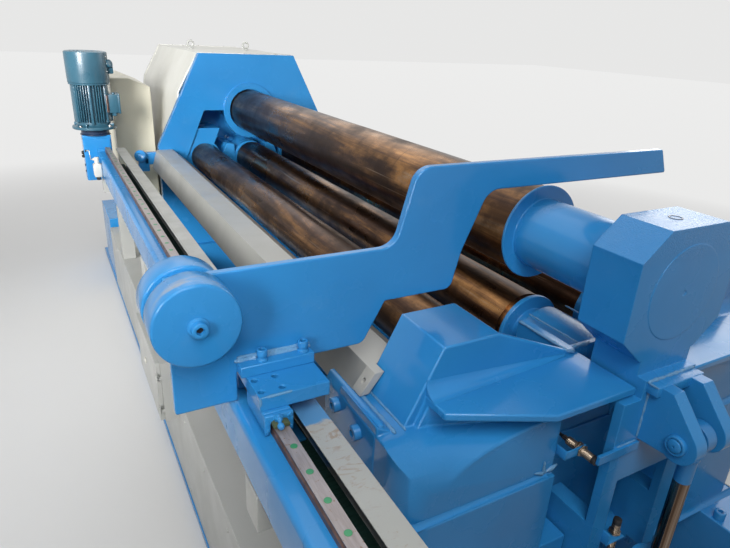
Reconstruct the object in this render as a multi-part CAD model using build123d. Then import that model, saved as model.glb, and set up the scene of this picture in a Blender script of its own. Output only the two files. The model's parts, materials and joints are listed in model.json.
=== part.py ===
from build123d import *
import math
import os

# Four-roll plate rolling machine with a drop end and a pusher arm.
# Millimetres, +Z up, +Y along the rolls towards the drive end, +X to the operator's right.
# The origin is on the floor, under the middle of the rolls.

# Rolls
roll_length = 2170
top_roll_radius = 105
bottom_roll_radius = 85
side_roll_radius = 72
top_axis_height = 1089
roll_gap = 59
side_axis_offset = 251
side_axis_height = 852
side_slide_angle = 67

# Journals, collars and bearings
journal_clearance = 0.06
face_gap = 5
guide_gap = 0.4
seat_gap = 0.3
fit_gap = 0.1
end_wall = 15
journal_radius = 46
sleeve_radius = 82
sleeve_wall = 8
top_flange_radius = 112
top_flange_length = 7
bottom_collar_radius = 90
bottom_collar_length = 12
bottom_neck_radius = 58
bottom_neck_length = 31
bottom_relief_radius = 80
bottom_relief_length = 17
block_wall = 14
bearing_length = 200
near_block_length = 68
near_block_depth = 100
near_bearing_radius = 79
near_bearing_chamfer = 12
near_plate_thickness = 12
near_plate_drop = 2
cone_radius = 62
cone_angle = 8
cone_length = 84
cone_gap = 0.4
far_housing_radius = 100
boss_radius = 141
boss_height = 13

# Bed and covers
bed_height = 372
bed_half_width = 732
bed_near_y = -1700
bed_far_y = 2180
foot_plate_height = 25
girder_inner = 400
girder_outer = 600
cross_width = 60
near_cross_height = 60
cover_sheet = 3
cover_half_width = 728
cover_inner = 560
side_cover_far_y = 1520
plinth_near_y = 1550
plinth_length = 430
plinth_height = 418
plinth_half_width = 724

# Near frame
frame_back_gap = 90
hump_depth = 145
tower_depth = 95
tower_half_width = 556
tower_inner = 200
wall_height = 871
wall_top_width = 34
valley_height = 852
valley_offset = 500
hump_height = 1000
hump_outer = 427
hump_inner = 303
shoulder_height = 920
shoulder_offset = 111
bay_floor = 800
bay_wall = 12
bay_edge = 8
slot_floor = 700
apron_height = 910
apron_thickness = 15
apron_reach = 147
apron_outer = 459
apron_corner = 281
apron_clearance = 6
apron_side_run = 61
apron_foot_run = 20
wall_step = 10
wall_step_height = 715
guide_rail_width = 26
guide_rail_depth = 68
guide_rail_low = 150
outer_guide_high = 40
inner_guide_high = 20
pivot_cheek_gap = 6
pivot_cheek_low = 68
pivot_cheek_high = 83

# Far frame and drive housing
far_plate_thickness = 40
far_plate_top = 1371
far_plate_top_half = 253
far_plate_low = 917
far_plate_low_half = 484
recess_top = 1092
recess_depth = 215
far_frame_depth = 285
wedge_height = 915
wedge_corner = 14
tongue_height = 1000
tongue_reach = 25
housing_end_y = 2165
housing_sheet = 5
housing_crease_height = 1181
housing_crease_offset = 360
housing_low_height = 700
housing_low_offset = 430
frame_inset = 12
eye_radius = 22
eye_hole = 13
eye_thickness = 10
eye_foot_radius = 18
eye_foot_height = 6
eye_spacing = 330
eye_sides = 16

# Guards between the rolls and the pusher beam
guard_sheet = 4
guard_ridge_offset = 498
guard_ridge_height = 900
guard_flat_end = 418
guard_lip_offset = 342
guard_lip_drop = 67
guard_skirt_spread = 26
guard_skirt_drop = 88
guard_tab_length = 33
guard_tab_width = 20
guard_tab_height = 43
guard_tab_lean = 32
guard_tab_hole = 5
guard_notch = 22

# Pusher beam, rail and belt
beam_width = 70
beam_height = 100
beam_offset = 739
beam_top = 904
beam_corner = 12
beam_wall = 6
beam_near_y = -1690
beam_far_y = 1120
rail_offset = 728
rail_width = 23
rail_height = 22
rail_base_height = 10
rail_waist = 3
rail_crown = 6
rail_near_gap = 12
rail_far_gap = 45
belt_width = 30
belt_thickness = 4
belt_offset = 664
belt_drop = 85
belt_loop_height = 60
pulley_near_gap = 50
pulley_axle_radius = 8
cover_strip_width = 38
cover_strip_offset = 669
cover_strip_rise = 9
tray_gap = 15
tray_sheet = 4
tray_lip = 8
post_size = 60
post_inset = 4
post_spacing = 1180
post_far_gap = 60
head_plate = 12
bracket_length = 60

# Pusher carriage
carriage_near_y = -1290
block_overhang = 7
block_width = 48
block_length = 84
block_spacing = 132
block_gap = 5
block_height = 35
block_edge = 3
carriage_plate_left = 754
carriage_plate_right = 634
carriage_plate_length = 200
carriage_plate_thickness = 25
carriage_hole_radius = 5.5
carriage_hole_pitch = 35
carriage_hole_depth = 18
belt_clamp_length = 80
belt_clamp_wall = 5
clamp_left = 763
clamp_right = 633
clamp_thickness = 20
clamp_length = 25
arm_front_y = -1200
arm_thickness = 16

# Outline of the pusher arm, with heights above the carriage plate
arm_tail_left = 867
arm_tail_right = 763
arm_tail_drop = 57
arm_tail_rise = 182
arm_neck_foot = 467
arm_neck_head = 430
arm_top_rise = 323
arm_tip_top = 220
arm_tip_low = 247
arm_beak_rise = 270
arm_throat = 268
arm_bend = 317
arm_bend_rise = 154
arm_chin = 334
arm_chin_rise = 79
arm_step = 482
arm_foot = 525
arm_corner = 4
arm_bend_radius = 60
arm_neck_radius = 38

# Counterweight on the arm
weight_radius = 67
weight_offset = 833
weight_height = 1096
front_weight_length = 60
rear_weight_length = 54
weight_bolt_radius = 13
weight_bolt_height = 14

# Belt gearbox and motor
gearbox_offset = 765
gearbox_width = 130
gearbox_depth = 104
gearbox_drop = 147
gearbox_height = 203
gearbox_corner = 12
gearbox_neck_radius = 52
gearbox_neck_height = 46
gearbox_gap = 1
motor_flange_radius = 100
motor_flange_thickness = 14
motor_body_radius = 76
motor_body_length = 242
motor_fin_height = 8
motor_fin_width = 4
motor_fin_count = 24
motor_fin_start = 12
motor_cowl_radius = 93
motor_cowl_length = 101
terminal_box_reach = 50
terminal_box_width = 90
terminal_box_low = 80
terminal_box_height = 90
terminal_box_corner = 8
cable_box_reach = 34
cable_box_width = 44
cable_box_low = 242
cable_box_height = 52

# Drop end
head_half_width = 140
head_half_height = 128
head_chamfer_across = 60
head_chamfer_up = 52
head_front_y = -1458
head_back_y = -1352
head_cover_radius = 95
head_cover_height = 1
head_cover_hole = 5
neck_half_width = 74
neck_bottom = 840
leg_plate_thickness = 20
leg_plate_top = 889
leg_outer = 120
leg_inner = 80
leg_cheek_top = 590
window_top = 697
shoulder_plate_top = 930
tilt_axis_y = -1388
tilt_axis_height = 440
tilt_pin_radius = 28
tilt_boss_radius = 50
shaft_inset = 4
flag_low = 771
flag_height = 20
flag_thickness = 7
flag_left = 165
flag_right = 53
lug_outer = 58
lug_thickness = 30
lug_radius = 38
lug_top = 925
lug_top_reach = 47
lug_foot = 797
pin_axis_y = -1555
pin_axis_height = 835
pin_radius = 16
pin_head_radius = 20
pin_head_height = 6

# Tilting cylinder
rod_radius = 16
rod_eye_radius = 31
rod_eye_thickness = 26
rod_neck_wall = 3
rod_neck_length = 25
rod_neck_seat = 8
rod_length = 383
barrel_radius = 42
barrel_bore_clearance = 0.06
barrel_length = 405
barrel_start = 50
barrel_floor = 74
gland_wall = 6
gland_length = 40
foot_axis_height = 110
foot_radius = 34
foot_thickness = 50
ear_thickness = 25
bracket_margin = 10

# Fittings on the left side
box_depth = 60
box_near_y = -355
box_length = 400
box_low = 291
box_high = 508
lid_thickness = 14
lid_edge = 10
hinge_radius = 5
hinge_length = 24
hinge_inset = 35
hinge_leaf = 4
cabinet_left = 650
cabinet_right = 452
cabinet_near_y = 1385
cabinet_length = 520
cabinet_top = 1225
cabinet_slope = 45
cabinet_flat = 90
switch_reach = 34
switch_width = 40
switch_far_gap = 150
switch_low = 10
switch_top_gap = 20
lever_thickness = 4
lever_width = 12
lever_height = 30

# Derived heights, faces and directions
near_face = -roll_length / 2
far_face = roll_length / 2
bottom_axis_height = top_axis_height - top_roll_radius - roll_gap - bottom_roll_radius
slide_across = math.cos(math.radians(side_slide_angle))
slide_up = math.sin(math.radians(side_slide_angle))
block_half_width = side_roll_radius + block_wall
guide_half_width = block_half_width + guide_gap
frame_back_y = near_face - frame_back_gap
hump_front_y = frame_back_y - hump_depth
near_bearing_front = hump_front_y + face_gap
tower_front_y = hump_front_y - tower_depth
apron_front_y = hump_front_y - apron_reach
bottom_roll_near_y = near_face + face_gap
bottom_collar_far_y = bottom_roll_near_y - bottom_relief_length
bottom_collar_near_y = bottom_collar_far_y - bottom_collar_length
bottom_neck_near_y = bottom_collar_near_y - bottom_neck_length
bottom_roll_far_y = far_face - boss_height - face_gap
far_block_y = (far_face + face_gap * 2, far_face + face_gap * 2 + bearing_length)
arm_back_y = arm_front_y + arm_thickness
far_back_y = far_face + far_frame_depth
beam_bottom = beam_top - beam_height
beam_left = -beam_offset - beam_width / 2
beam_right = -beam_offset + beam_width / 2
belt_height = beam_top - belt_drop
tray_low = belt_height - belt_loop_height - tray_gap - tray_sheet
cover_strip_top = beam_top + cover_strip_rise
block_bottom = beam_top + block_gap
block_top = block_bottom + block_height
carriage_plate_top = block_top + carriage_plate_thickness
gearbox_y = (beam_far_y + gearbox_gap, beam_far_y + gearbox_gap + gearbox_depth)
gearbox_bottom = beam_top - gearbox_drop
gearbox_top = gearbox_bottom + gearbox_height
pulley_near_y = beam_near_y + pulley_near_gap
pulley_far_y = (gearbox_y[0] + gearbox_y[1]) / 2
pulley_height = belt_height - belt_loop_height / 2
pulley_radius = belt_loop_height / 2 - belt_thickness
strip_left = -cover_strip_offset - cover_strip_width / 2
tray_right = -cover_strip_offset + cover_strip_width / 2 + tray_lip
leg_front_y = head_front_y - leg_plate_thickness
box_left = cover_half_width + box_depth


def box(x_range, y_range, z_range):
    """A block between two values on each axis."""
    size = [high - low for low, high in (x_range, y_range, z_range)]
    middle = [(high + low) / 2 for low, high in (x_range, y_range, z_range)]
    return Pos(*middle) * Box(*size)


def plate_along_y(outline, y_low, y_high):
    """An outline of (x, z) points, given its thickness along Y."""
    wire = Polyline(*[(x, y_low, z) for x, z in outline], close=True)
    return extrude(make_face(wire), amount=y_high - y_low, dir=(0, 1, 0))


def plate_along_x(outline, x_low, x_high):
    """An outline of (y, z) points, given its thickness along X."""
    wire = Polyline(*[(x_low, y, z) for y, z in outline], close=True)
    return extrude(make_face(wire), amount=x_high - x_low, dir=(1, 0, 0))


def plate_along_z(outline, z_low, z_high):
    """An outline of (x, y) points, given its thickness along Z."""
    wire = Polyline(*[(x, y, z_low) for x, y in outline], close=True)
    return extrude(make_face(wire), amount=z_high - z_low, dir=(0, 0, 1))


def rod_along_x(y, z, radius, x_low, x_high):
    return Pos((x_low + x_high) / 2, y, z) * Rot(0, 90, 0) * Cylinder(radius, x_high - x_low)


def rod_along_y(x, z, radius, y_low, y_high):
    return Pos(x, (y_low + y_high) / 2, z) * Rot(90, 0, 0) * Cylinder(radius, y_high - y_low)


def rod_along_z(x, y, radius, z_low, z_high):
    return Pos(x, y, (z_low + z_high) / 2) * Cylinder(radius, z_high - z_low)


def turned(x, z, steps):
    """A shaft along Y from (y, radius) steps, turned about its axis."""
    outline = [(x, steps[0][0], z)]
    outline += [(x + radius, y, z) for y, radius in steps]
    outline.append((x, steps[-1][0], z))
    face = make_face(Polyline(*outline, close=True))
    return revolve(face, Axis((x, 0, z), (0, 1, 0)), 360)


def both_sides(shape):
    """The shape and its mirror image across the machine's middle plane."""
    return shape + mirror(shape, about=Plane.YZ)


def mirrored(outline):
    """An outline of the left half, closed by its own mirror image."""
    return outline + [(-x, z) for x, z in reversed(outline)]


def along_slide(x, z, across, up):
    """A point moved across and up in the left side roll's slanted slide."""
    return (x + across * slide_up + up * slide_across, z - across * slide_across + up * slide_up)


# Bed

def bed_frame():
    """Two closed box girders on foot plates, their cross members and the plinths beside the drive."""
    left = box((-bed_half_width, -girder_inner), (bed_near_y, bed_far_y), (0, foot_plate_height))
    left += box((-girder_outer, -girder_inner), (bed_near_y, bed_far_y), (foot_plate_height, bed_height))
    left += box(
        (-plinth_half_width, -girder_outer),
        (plinth_near_y, plinth_near_y + plinth_length),
        (foot_plate_height, plinth_height),
    )
    bed = both_sides(left)
    near_cross = (bed_near_y, bed_near_y + cross_width)
    bed += box((-girder_inner, girder_inner), near_cross, (0, near_cross_height))
    for y in (frame_back_y, 0, far_face, far_back_y):
        across = (y - cross_width / 2, y + cross_width / 2)
        bed += box((-girder_inner, girder_inner), across, (0, bed_height))
    far_cross = (bed_far_y - cross_width, bed_far_y)
    return bed + box((-girder_inner, girder_inner), far_cross, (0, bed_height))


def side_cover():
    """The folded sheet over the left girder, closed at its ends."""
    outline = [
        (-cover_half_width, foot_plate_height),
        (-cover_half_width, bed_height + cover_sheet),
        (-cover_inner, bed_height + cover_sheet),
        (-cover_inner, bed_height),
        (-cover_half_width + cover_sheet, bed_height),
        (-cover_half_width + cover_sheet, foot_plate_height),
    ]
    sheet = plate_along_y(outline, bed_near_y, side_cover_far_y)
    for y in (bed_near_y, side_cover_far_y - cover_sheet):
        sheet += box(
            (-cover_half_width, -girder_outer),
            (y, y + cover_sheet),
            (foot_plate_height, bed_height),
        )
    return sheet


# Near frame

def side_guide(offset, low, high):
    """One slanted guide rail beside the left near bearing block."""
    corners = [(offset, low), (offset + guide_rail_width, low)]
    corners += [(offset + guide_rail_width, high), (offset, high)]
    return [along_slide(-side_axis_offset, side_axis_height, across, up) for across, up in corners]


def near_frame():
    hump = [
        (-tower_half_width, bed_height),
        (-tower_half_width, wall_height),
        (-tower_half_width + wall_top_width, valley_height),
        (-valley_offset, valley_height),
        (-hump_outer, hump_height),
        (-hump_inner, hump_height),
        (-shoulder_offset, shoulder_height),
        (-guide_half_width, shoulder_height),
        (-guide_half_width, slot_floor),
    ]
    frame = plate_along_y(mirrored(hump), hump_front_y, frame_back_y)
    frame -= both_sides(box(
        (-hump_inner + bay_edge, -shoulder_offset),
        (hump_front_y + bay_wall, frame_back_y),
        (bay_floor, hump_height),
    ))
    tower = [
        (-tower_half_width, bed_height),
        (-tower_half_width, valley_height),
        (-apron_outer - apron_foot_run, valley_height),
        (-apron_outer, apron_height - apron_thickness),
        (-tower_inner, apron_height - apron_thickness),
        (-tower_inner, bed_height),
    ]
    left = plate_along_y(tower, tower_front_y, hump_front_y)
    left += box(
        (-tower_half_width, -tower_inner),
        (tower_front_y - wall_step, tower_front_y),
        (bed_height, wall_step_height),
    )
    apron_inner = neck_half_width + apron_clearance
    apron = [
        (-apron_outer, hump_front_y),
        (-apron_outer, hump_front_y - apron_side_run),
        (-apron_corner, apron_front_y),
        (-apron_inner, apron_front_y),
        (-apron_inner, hump_front_y),
    ]
    left += plate_along_z(apron, apron_height - apron_thickness, apron_height)
    left += box(
        (-tower_inner, -leg_outer - pivot_cheek_gap),
        (tower_front_y - wall_step, hump_front_y),
        (tilt_axis_height - pivot_cheek_low, tilt_axis_height + pivot_cheek_high),
    )
    rail_y = (frame_back_y, frame_back_y + guide_rail_depth)
    outer_rail = side_guide(-guide_half_width - guide_rail_width, -guide_rail_low, outer_guide_high)
    inner_rail = side_guide(guide_half_width, -guide_rail_low, inner_guide_high)
    left += plate_along_y(outer_rail, *rail_y)
    left += plate_along_y(inner_rail, *rail_y)
    pivot_radius = tilt_pin_radius + journal_clearance
    pivot = rod_along_x(tilt_axis_y, tilt_axis_height, pivot_radius, -tower_inner, tower_inner)
    return frame + both_sides(left) - pivot


# Far frame and drive housing

def slide_height(height, across):
    """How far up the left slide a point at that height lies."""
    return (height - side_axis_height + across * slide_across) / slide_up


def at_height(height, across):
    """The point of the left slide at a height, across its centre line."""
    return along_slide(-side_axis_offset, side_axis_height, across, slide_height(height, across))


def recess_outline():
    """The left edge of the opening that the side and bottom bearings slide in."""
    return [at_height(height, -guide_half_width) for height in (slot_floor, recess_top)]


def guide_wedge():
    """The left wedge between a side bearing and the bottom bearing, rounded at its top."""
    outline = [
        at_height(slot_floor, guide_half_width),
        at_height(wedge_height, guide_half_width),
        (-guide_half_width, wedge_height),
        (-guide_half_width, slot_floor),
    ]
    wedge = plate_along_y(outline, far_face + face_gap * 2, far_face + recess_depth)
    top_edges = wedge.edges().filter_by(Axis.Y).group_by(Axis.Z)[-1]
    return fillet(top_edges, wedge_corner)


def far_frame():
    plate = [
        (-far_plate_low_half, bed_height),
        (-far_plate_low_half, far_plate_low),
        (-far_plate_top_half, far_plate_top),
    ]
    frame = plate_along_y(mirrored(plate), far_face, far_face + far_plate_thickness)
    rear = [
        (-housing_low_offset + frame_inset, bed_height),
        (-housing_low_offset + frame_inset, housing_low_height),
        (-housing_crease_offset + frame_inset, housing_crease_height),
        (-far_plate_top_half + frame_inset, far_plate_top - frame_inset),
    ]
    frame += plate_along_y(mirrored(rear), far_face + far_plate_thickness, far_back_y)
    frame -= plate_along_y(mirrored(recess_outline()), far_face, far_face + recess_depth)
    frame += both_sides(guide_wedge())
    z = top_axis_height
    ring_y = (far_face - boss_height, far_face + face_gap)
    frame -= rod_along_y(0, z, top_roll_radius + face_gap, *ring_y)
    ring = rod_along_y(0, z, boss_radius, *ring_y)
    frame += ring - rod_along_y(0, z, top_roll_radius + face_gap, *ring_y)
    frame += rod_along_y(0, z, far_housing_radius, far_face + face_gap, far_face + recess_depth)
    return frame - rod_along_y(0, z, journal_radius + journal_clearance, far_face, far_face + bearing_length)


def drive_housing():
    """The folded sheet cover over the drive, open towards the rolls."""
    outline = [
        (-housing_low_offset, bed_height),
        (-housing_low_offset, housing_low_height),
        (-housing_crease_offset, housing_crease_height),
        (-far_plate_top_half, far_plate_top),
    ]
    inside = [
        (-housing_low_offset + housing_sheet, bed_height),
        (-housing_low_offset + housing_sheet, housing_low_height),
        (-housing_crease_offset + housing_sheet, housing_crease_height - housing_sheet / 2),
        (-far_plate_top_half + housing_sheet / 2, far_plate_top - housing_sheet),
    ]
    near_y = far_face + far_plate_thickness
    cover = plate_along_y(mirrored(outline), near_y, housing_end_y)
    return cover - plate_along_y(mirrored(inside), near_y, housing_end_y - housing_sheet)


def lifting_eyes():
    """Two eye bolts on the housing's top, each a ring on a round foot."""
    middle = (far_face + far_plate_thickness + housing_end_y) / 2
    foot_top = far_plate_top + eye_foot_height
    ring = RegularPolygon(eye_radius, eye_sides) - RegularPolygon(eye_hole, eye_sides)
    eyes = []
    for x in (-eye_spacing / 2, eye_spacing / 2):
        foot = rod_along_z(x, middle, eye_foot_radius, far_plate_top, foot_top)
        place = Plane((x, middle - eye_thickness / 2, foot_top + eye_radius - fit_gap), z_dir=(0, 1, 0))
        eyes.append(foot + extrude(place * ring, amount=eye_thickness, dir=(0, 1, 0)))
    return Compound(children=eyes)


def control_cabinet():
    top = cabinet_top - cabinet_slope
    outline = [
        (-cabinet_left, plinth_height),
        (-cabinet_left, cabinet_top),
        (-cabinet_left + cabinet_flat, cabinet_top),
        (-cabinet_right, top),
        (-cabinet_right, plinth_height),
    ]
    return plate_along_y(outline, cabinet_near_y, cabinet_near_y + cabinet_length)


# Rolls

def top_roll():
    cone_tip = cone_radius - cone_length * math.tan(math.radians(cone_angle))
    steps = [
        (head_back_y - cone_length, cone_tip),
        (head_back_y, cone_radius),
        (head_back_y + face_gap, cone_radius),
        (head_back_y + face_gap, sleeve_radius - sleeve_wall - fit_gap),
        (near_face, sleeve_radius - sleeve_wall - fit_gap),
        (near_face, top_roll_radius),
        (far_face, top_roll_radius),
        (far_face, journal_radius),
        (far_face + bearing_length, journal_radius),
    ]
    return turned(0, top_axis_height, steps)


def top_roll_sleeve():
    """The blue sleeve behind the drop end's head, with its thin flange at the roll."""
    start = head_back_y + face_gap
    sleeve = rod_along_y(0, top_axis_height, sleeve_radius, start, near_face)
    sleeve += rod_along_y(0, top_axis_height, top_flange_radius, near_face - top_flange_length, near_face)
    return sleeve - rod_along_y(0, top_axis_height, sleeve_radius - sleeve_wall, start, near_face)


def bottom_roll():
    """The bottom roll, stepped down under its collar and at both journals."""
    near_end = near_bearing_front + end_wall + face_gap
    steps = [
        (near_end, journal_radius),
        (bottom_collar_far_y, journal_radius),
        (bottom_collar_far_y, bottom_relief_radius),
        (bottom_roll_near_y, bottom_relief_radius),
        (bottom_roll_near_y, bottom_roll_radius),
        (bottom_roll_far_y, bottom_roll_radius),
        (bottom_roll_far_y, journal_radius),
        (far_block_y[1], journal_radius),
    ]
    return turned(0, bottom_axis_height, steps)


def side_roll():
    """The left side roll between its two bearing blocks."""
    steps = [
        (near_face - face_gap * 2 - near_block_length, journal_radius),
        (near_face, journal_radius),
        (near_face, side_roll_radius),
        (far_face, side_roll_radius),
        (far_face, journal_radius),
        (far_block_y[1], journal_radius),
    ]
    return turned(-side_axis_offset, side_axis_height, steps)


def bottom_roll_collar():
    """The collar beside the bottom roll, with its neck towards the near bearing."""
    z = bottom_axis_height
    collar = rod_along_y(0, z, bottom_collar_radius, bottom_collar_near_y, bottom_collar_far_y)
    collar += rod_along_y(0, z, bottom_neck_radius, bottom_neck_near_y, bottom_collar_near_y)
    return collar - rod_along_y(0, z, journal_radius + fit_gap, bottom_neck_near_y, bottom_collar_far_y)


def bottom_bearing(radius, y_low, y_high):
    """The bottom roll's bearing housing, round above and square below."""
    z = bottom_axis_height
    block = rod_along_y(0, z, radius, y_low, y_high)
    width = (-block_half_width, block_half_width)
    return block + box(width, (y_low, y_high), (slot_floor + seat_gap, z))


def bottom_near_bearing():
    """The near housing, chamfered and closed by a square plate at the drop end."""
    y_low, y_high = near_bearing_front, bottom_neck_near_y - face_gap
    block = bottom_bearing(near_bearing_radius, y_low, y_high)
    rim = block.faces().sort_by(Axis.Y)[0].edges().filter_by(GeomType.CIRCLE)
    block = chamfer(rim, near_bearing_chamfer)
    width = (-block_half_width, block_half_width)
    plate_top = shoulder_height - near_plate_drop
    block += box(width, (y_low, y_low + near_plate_thickness), (slot_floor + seat_gap, plate_top))
    bore = rod_along_y(0, bottom_axis_height, journal_radius + journal_clearance, y_low + end_wall, y_high)
    return block - bore


def bottom_far_bearing():
    bore = rod_along_y(0, bottom_axis_height, journal_radius + journal_clearance, *far_block_y)
    return bottom_bearing(block_half_width, *far_block_y) - bore


def side_block(y_low, y_high):
    """The left side roll's bearing block, round above and square below."""
    x, z = -side_axis_offset, side_axis_height
    block = rod_along_y(x, z, block_half_width, y_low, y_high)
    corners = [
        (-block_half_width, 0),
        (-block_half_width, -near_block_depth),
        (block_half_width, -near_block_depth),
        (block_half_width, 0),
    ]
    return block + plate_along_y([along_slide(x, z, across, up) for across, up in corners], y_low, y_high)


def near_block():
    y = (near_face - face_gap * 2 - near_block_length, near_face - face_gap * 2)
    bore = rod_along_y(-side_axis_offset, side_axis_height, journal_radius + journal_clearance, *y)
    return side_block(*y) - bore


def far_block():
    """The far block, with the tongue that guides it further up the slide."""
    x, z = -side_axis_offset, side_axis_height
    tongue = [
        along_slide(x, z, -block_half_width, 0),
        at_height(tongue_height, -block_half_width),
        at_height(tongue_height, tongue_reach),
        along_slide(x, z, tongue_reach, 0),
    ]
    block = side_block(*far_block_y) + plate_along_y(tongue, *far_block_y)
    return block - rod_along_y(x, z, journal_radius + journal_clearance, *far_block_y)


# Guards

def guard():
    """The folded sheet between the rolls and the pusher beam."""
    lip_height = guard_ridge_height - guard_lip_drop
    skirt_height = guard_ridge_height - guard_skirt_drop
    skirt_foot = guard_ridge_offset + guard_skirt_spread
    outline = [
        (-skirt_foot, skirt_height),
        (-guard_ridge_offset, guard_ridge_height),
        (-guard_flat_end, guard_ridge_height),
        (-guard_lip_offset, lip_height),
        (-guard_lip_offset - guard_sheet, lip_height - guard_sheet),
        (-guard_flat_end - guard_sheet / 2, guard_ridge_height - guard_sheet),
        (-guard_ridge_offset + guard_sheet, guard_ridge_height - guard_sheet),
        (-skirt_foot + guard_sheet, skirt_height),
    ]
    sheet = plate_along_y(outline, frame_back_y, far_face)
    tab_low = guard_ridge_height - guard_tab_height
    tab_x = (-guard_ridge_offset - guard_tab_lean, -guard_ridge_offset + guard_tab_width)
    tab_outline = [
        (-guard_ridge_offset, guard_ridge_height),
        (tab_x[1], guard_ridge_height),
        (tab_x[1] - guard_tab_lean, tab_low),
        (tab_x[0], tab_low),
    ]
    tab = plate_along_y(tab_outline, frame_back_y - guard_tab_length, frame_back_y)
    hole_y = frame_back_y - guard_tab_length / 2
    hole = rod_along_x(hole_y, (guard_ridge_height + tab_low) / 2, guard_tab_hole, *tab_x)
    notch = box(
        (-guard_flat_end + guard_notch, -guard_lip_offset),
        (frame_back_y, near_face - face_gap),
        (lip_height - guard_sheet, guard_ridge_height),
    )
    return sheet + tab - hole - notch


# Pusher beam, rail and belt

def beam_tube():
    middle = (beam_top + beam_bottom) / 2
    length = beam_far_y - beam_near_y
    profile = RectangleRounded(beam_width, beam_height, beam_corner)
    profile -= RectangleRounded(beam_width - 2 * beam_wall, beam_height - 2 * beam_wall, beam_corner - beam_wall)
    place = Plane((-beam_offset, beam_near_y, middle), x_dir=(-1, 0, 0), z_dir=(0, 1, 0))
    tube = extrude(place * profile, amount=length, dir=(0, 1, 0))
    cap = box(
        (-beam_offset - beam_width / 2 + beam_wall, -beam_offset + beam_width / 2 - beam_wall),
        (beam_near_y, beam_near_y + beam_wall),
        (beam_bottom + beam_wall, beam_top - beam_wall),
    )
    return tube + cap


def beam_brackets():
    """The near bracket on the frame's side wall and the posts on the bed, all with a riser."""
    lower = tray_low - head_plate
    near_y = (hump_front_y, hump_front_y + bracket_length)
    near = box((beam_left, -tower_half_width), near_y, (lower, tray_low))
    supports = [near + box((beam_left, beam_right), near_y, (tray_low, beam_bottom))]
    post_left = -cover_half_width + post_inset
    for index in range(2):
        y = far_face - post_far_gap - post_size - index * post_spacing
        post_y = (y, y + post_size)
        post = box((post_left, post_left + post_size), post_y, (bed_height + cover_sheet, lower))
        post += box((beam_left, tray_right), post_y, (lower, tray_low))
        supports.append(post + box((beam_left, beam_right), post_y, (tray_low, beam_bottom)))
    return Compound(children=supports)


def linear_rail():
    """The profile rail, waisted below its crown where the ball tracks run."""
    half = rail_width / 2
    crown_low = beam_top + rail_height - rail_crown
    outline = [
        (-half, beam_top),
        (-half, beam_top + rail_base_height),
        (-half + rail_waist, beam_top + rail_base_height + rail_waist),
        (-half + rail_waist, crown_low),
        (-half, crown_low + rail_waist),
        (-half, beam_top + rail_height),
    ]
    profile = [(x - rail_offset, z) for x, z in mirrored(outline)]
    return plate_along_y(profile, beam_near_y + rail_near_gap, beam_far_y - rail_far_gap)


def drive_belt():
    """The toothed belt, a flat loop round its two pulleys."""
    reach = pulley_far_y - pulley_near_y
    outer = SlotCenterToCenter(reach, belt_loop_height)
    inner = SlotCenterToCenter(reach, belt_loop_height - 2 * belt_thickness)
    middle = (pulley_far_y + pulley_near_y) / 2
    place = Plane((-belt_offset - belt_width / 2, middle, pulley_height), x_dir=(0, 1, 0), z_dir=(1, 0, 0))
    return extrude(place * (outer - inner), amount=belt_width, dir=(1, 0, 0))


def belt_pulleys():
    """The near pulley on its axle and the far pulley on the gearbox's shaft."""
    wheel = (-belt_offset - belt_width / 2, -belt_offset + belt_width / 2)
    near = rod_along_x(pulley_near_y, pulley_height, pulley_radius - fit_gap, *wheel)
    near += rod_along_x(pulley_near_y, pulley_height, pulley_axle_radius, beam_right, tray_right - tray_sheet)
    shaft_start = -gearbox_offset + gearbox_width / 2
    far = rod_along_x(pulley_far_y, pulley_height, pulley_radius - fit_gap, *wheel)
    far += rod_along_x(pulley_far_y, pulley_height, pulley_axle_radius, shaft_start, wheel[1])
    return Compound(children=[near, far])


def belt_cover():
    """The tray that carries the belt, with the pale strip above it."""
    outline = [
        (beam_right, tray_low),
        (beam_right, tray_low + tray_sheet),
        (tray_right - tray_sheet, tray_low + tray_sheet),
        (tray_right - tray_sheet, cover_strip_top - cover_sheet),
        (strip_left, cover_strip_top - cover_sheet),
        (strip_left, cover_strip_top),
        (tray_right, cover_strip_top),
        (tray_right, tray_low),
    ]
    return plate_along_y(outline, beam_near_y, beam_far_y)


# Pusher

def carriage_blocks():
    """The two ball carriages that run on the rail."""
    blocks = []
    half = block_width / 2
    groove_half = rail_width / 2 + guide_gap
    for index in (0, 1):
        y = carriage_near_y - block_overhang + index * block_spacing
        reach = (y, y + block_length)
        block = box((-rail_offset - half, -rail_offset + half), reach, (block_bottom, block_top))
        block = chamfer(block.edges().filter_by(Axis.Y), block_edge)
        groove = box(
            (-rail_offset - groove_half, -rail_offset + groove_half),
            reach,
            (block_bottom, beam_top + rail_height + guide_gap),
        )
        blocks.append(block - groove)
    return Compound(children=blocks)


def carriage_plate():
    """The plate on the blocks, with a leg that reaches down to clamp the belt."""
    y = (carriage_near_y, carriage_near_y + carriage_plate_length)
    plate = box((-carriage_plate_left, -carriage_plate_right), y, (block_top, carriage_plate_top))
    half_pitch = carriage_hole_pitch / 2
    for index in (0, 1):
        middle = carriage_near_y - block_overhang + block_length / 2 + index * block_spacing
        for x in (-rail_offset - half_pitch, -rail_offset + half_pitch):
            for hole_y in (middle - half_pitch, middle + half_pitch):
                hole_low = carriage_plate_top - carriage_hole_depth
                plate -= rod_along_z(x, hole_y, carriage_hole_radius, hole_low, carriage_plate_top)
    leg_y = (arm_front_y - belt_clamp_length / 2, arm_front_y + belt_clamp_length / 2)
    leg_x = (strip_left - face_gap - belt_clamp_wall, strip_left - face_gap)
    foot_low = belt_height + seat_gap
    foot_right = -belt_offset + belt_width / 2 - face_gap
    plate += box(leg_x, leg_y, (foot_low, block_top))
    return plate + box((leg_x[0], foot_right), leg_y, (foot_low, foot_low + belt_clamp_wall))


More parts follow.
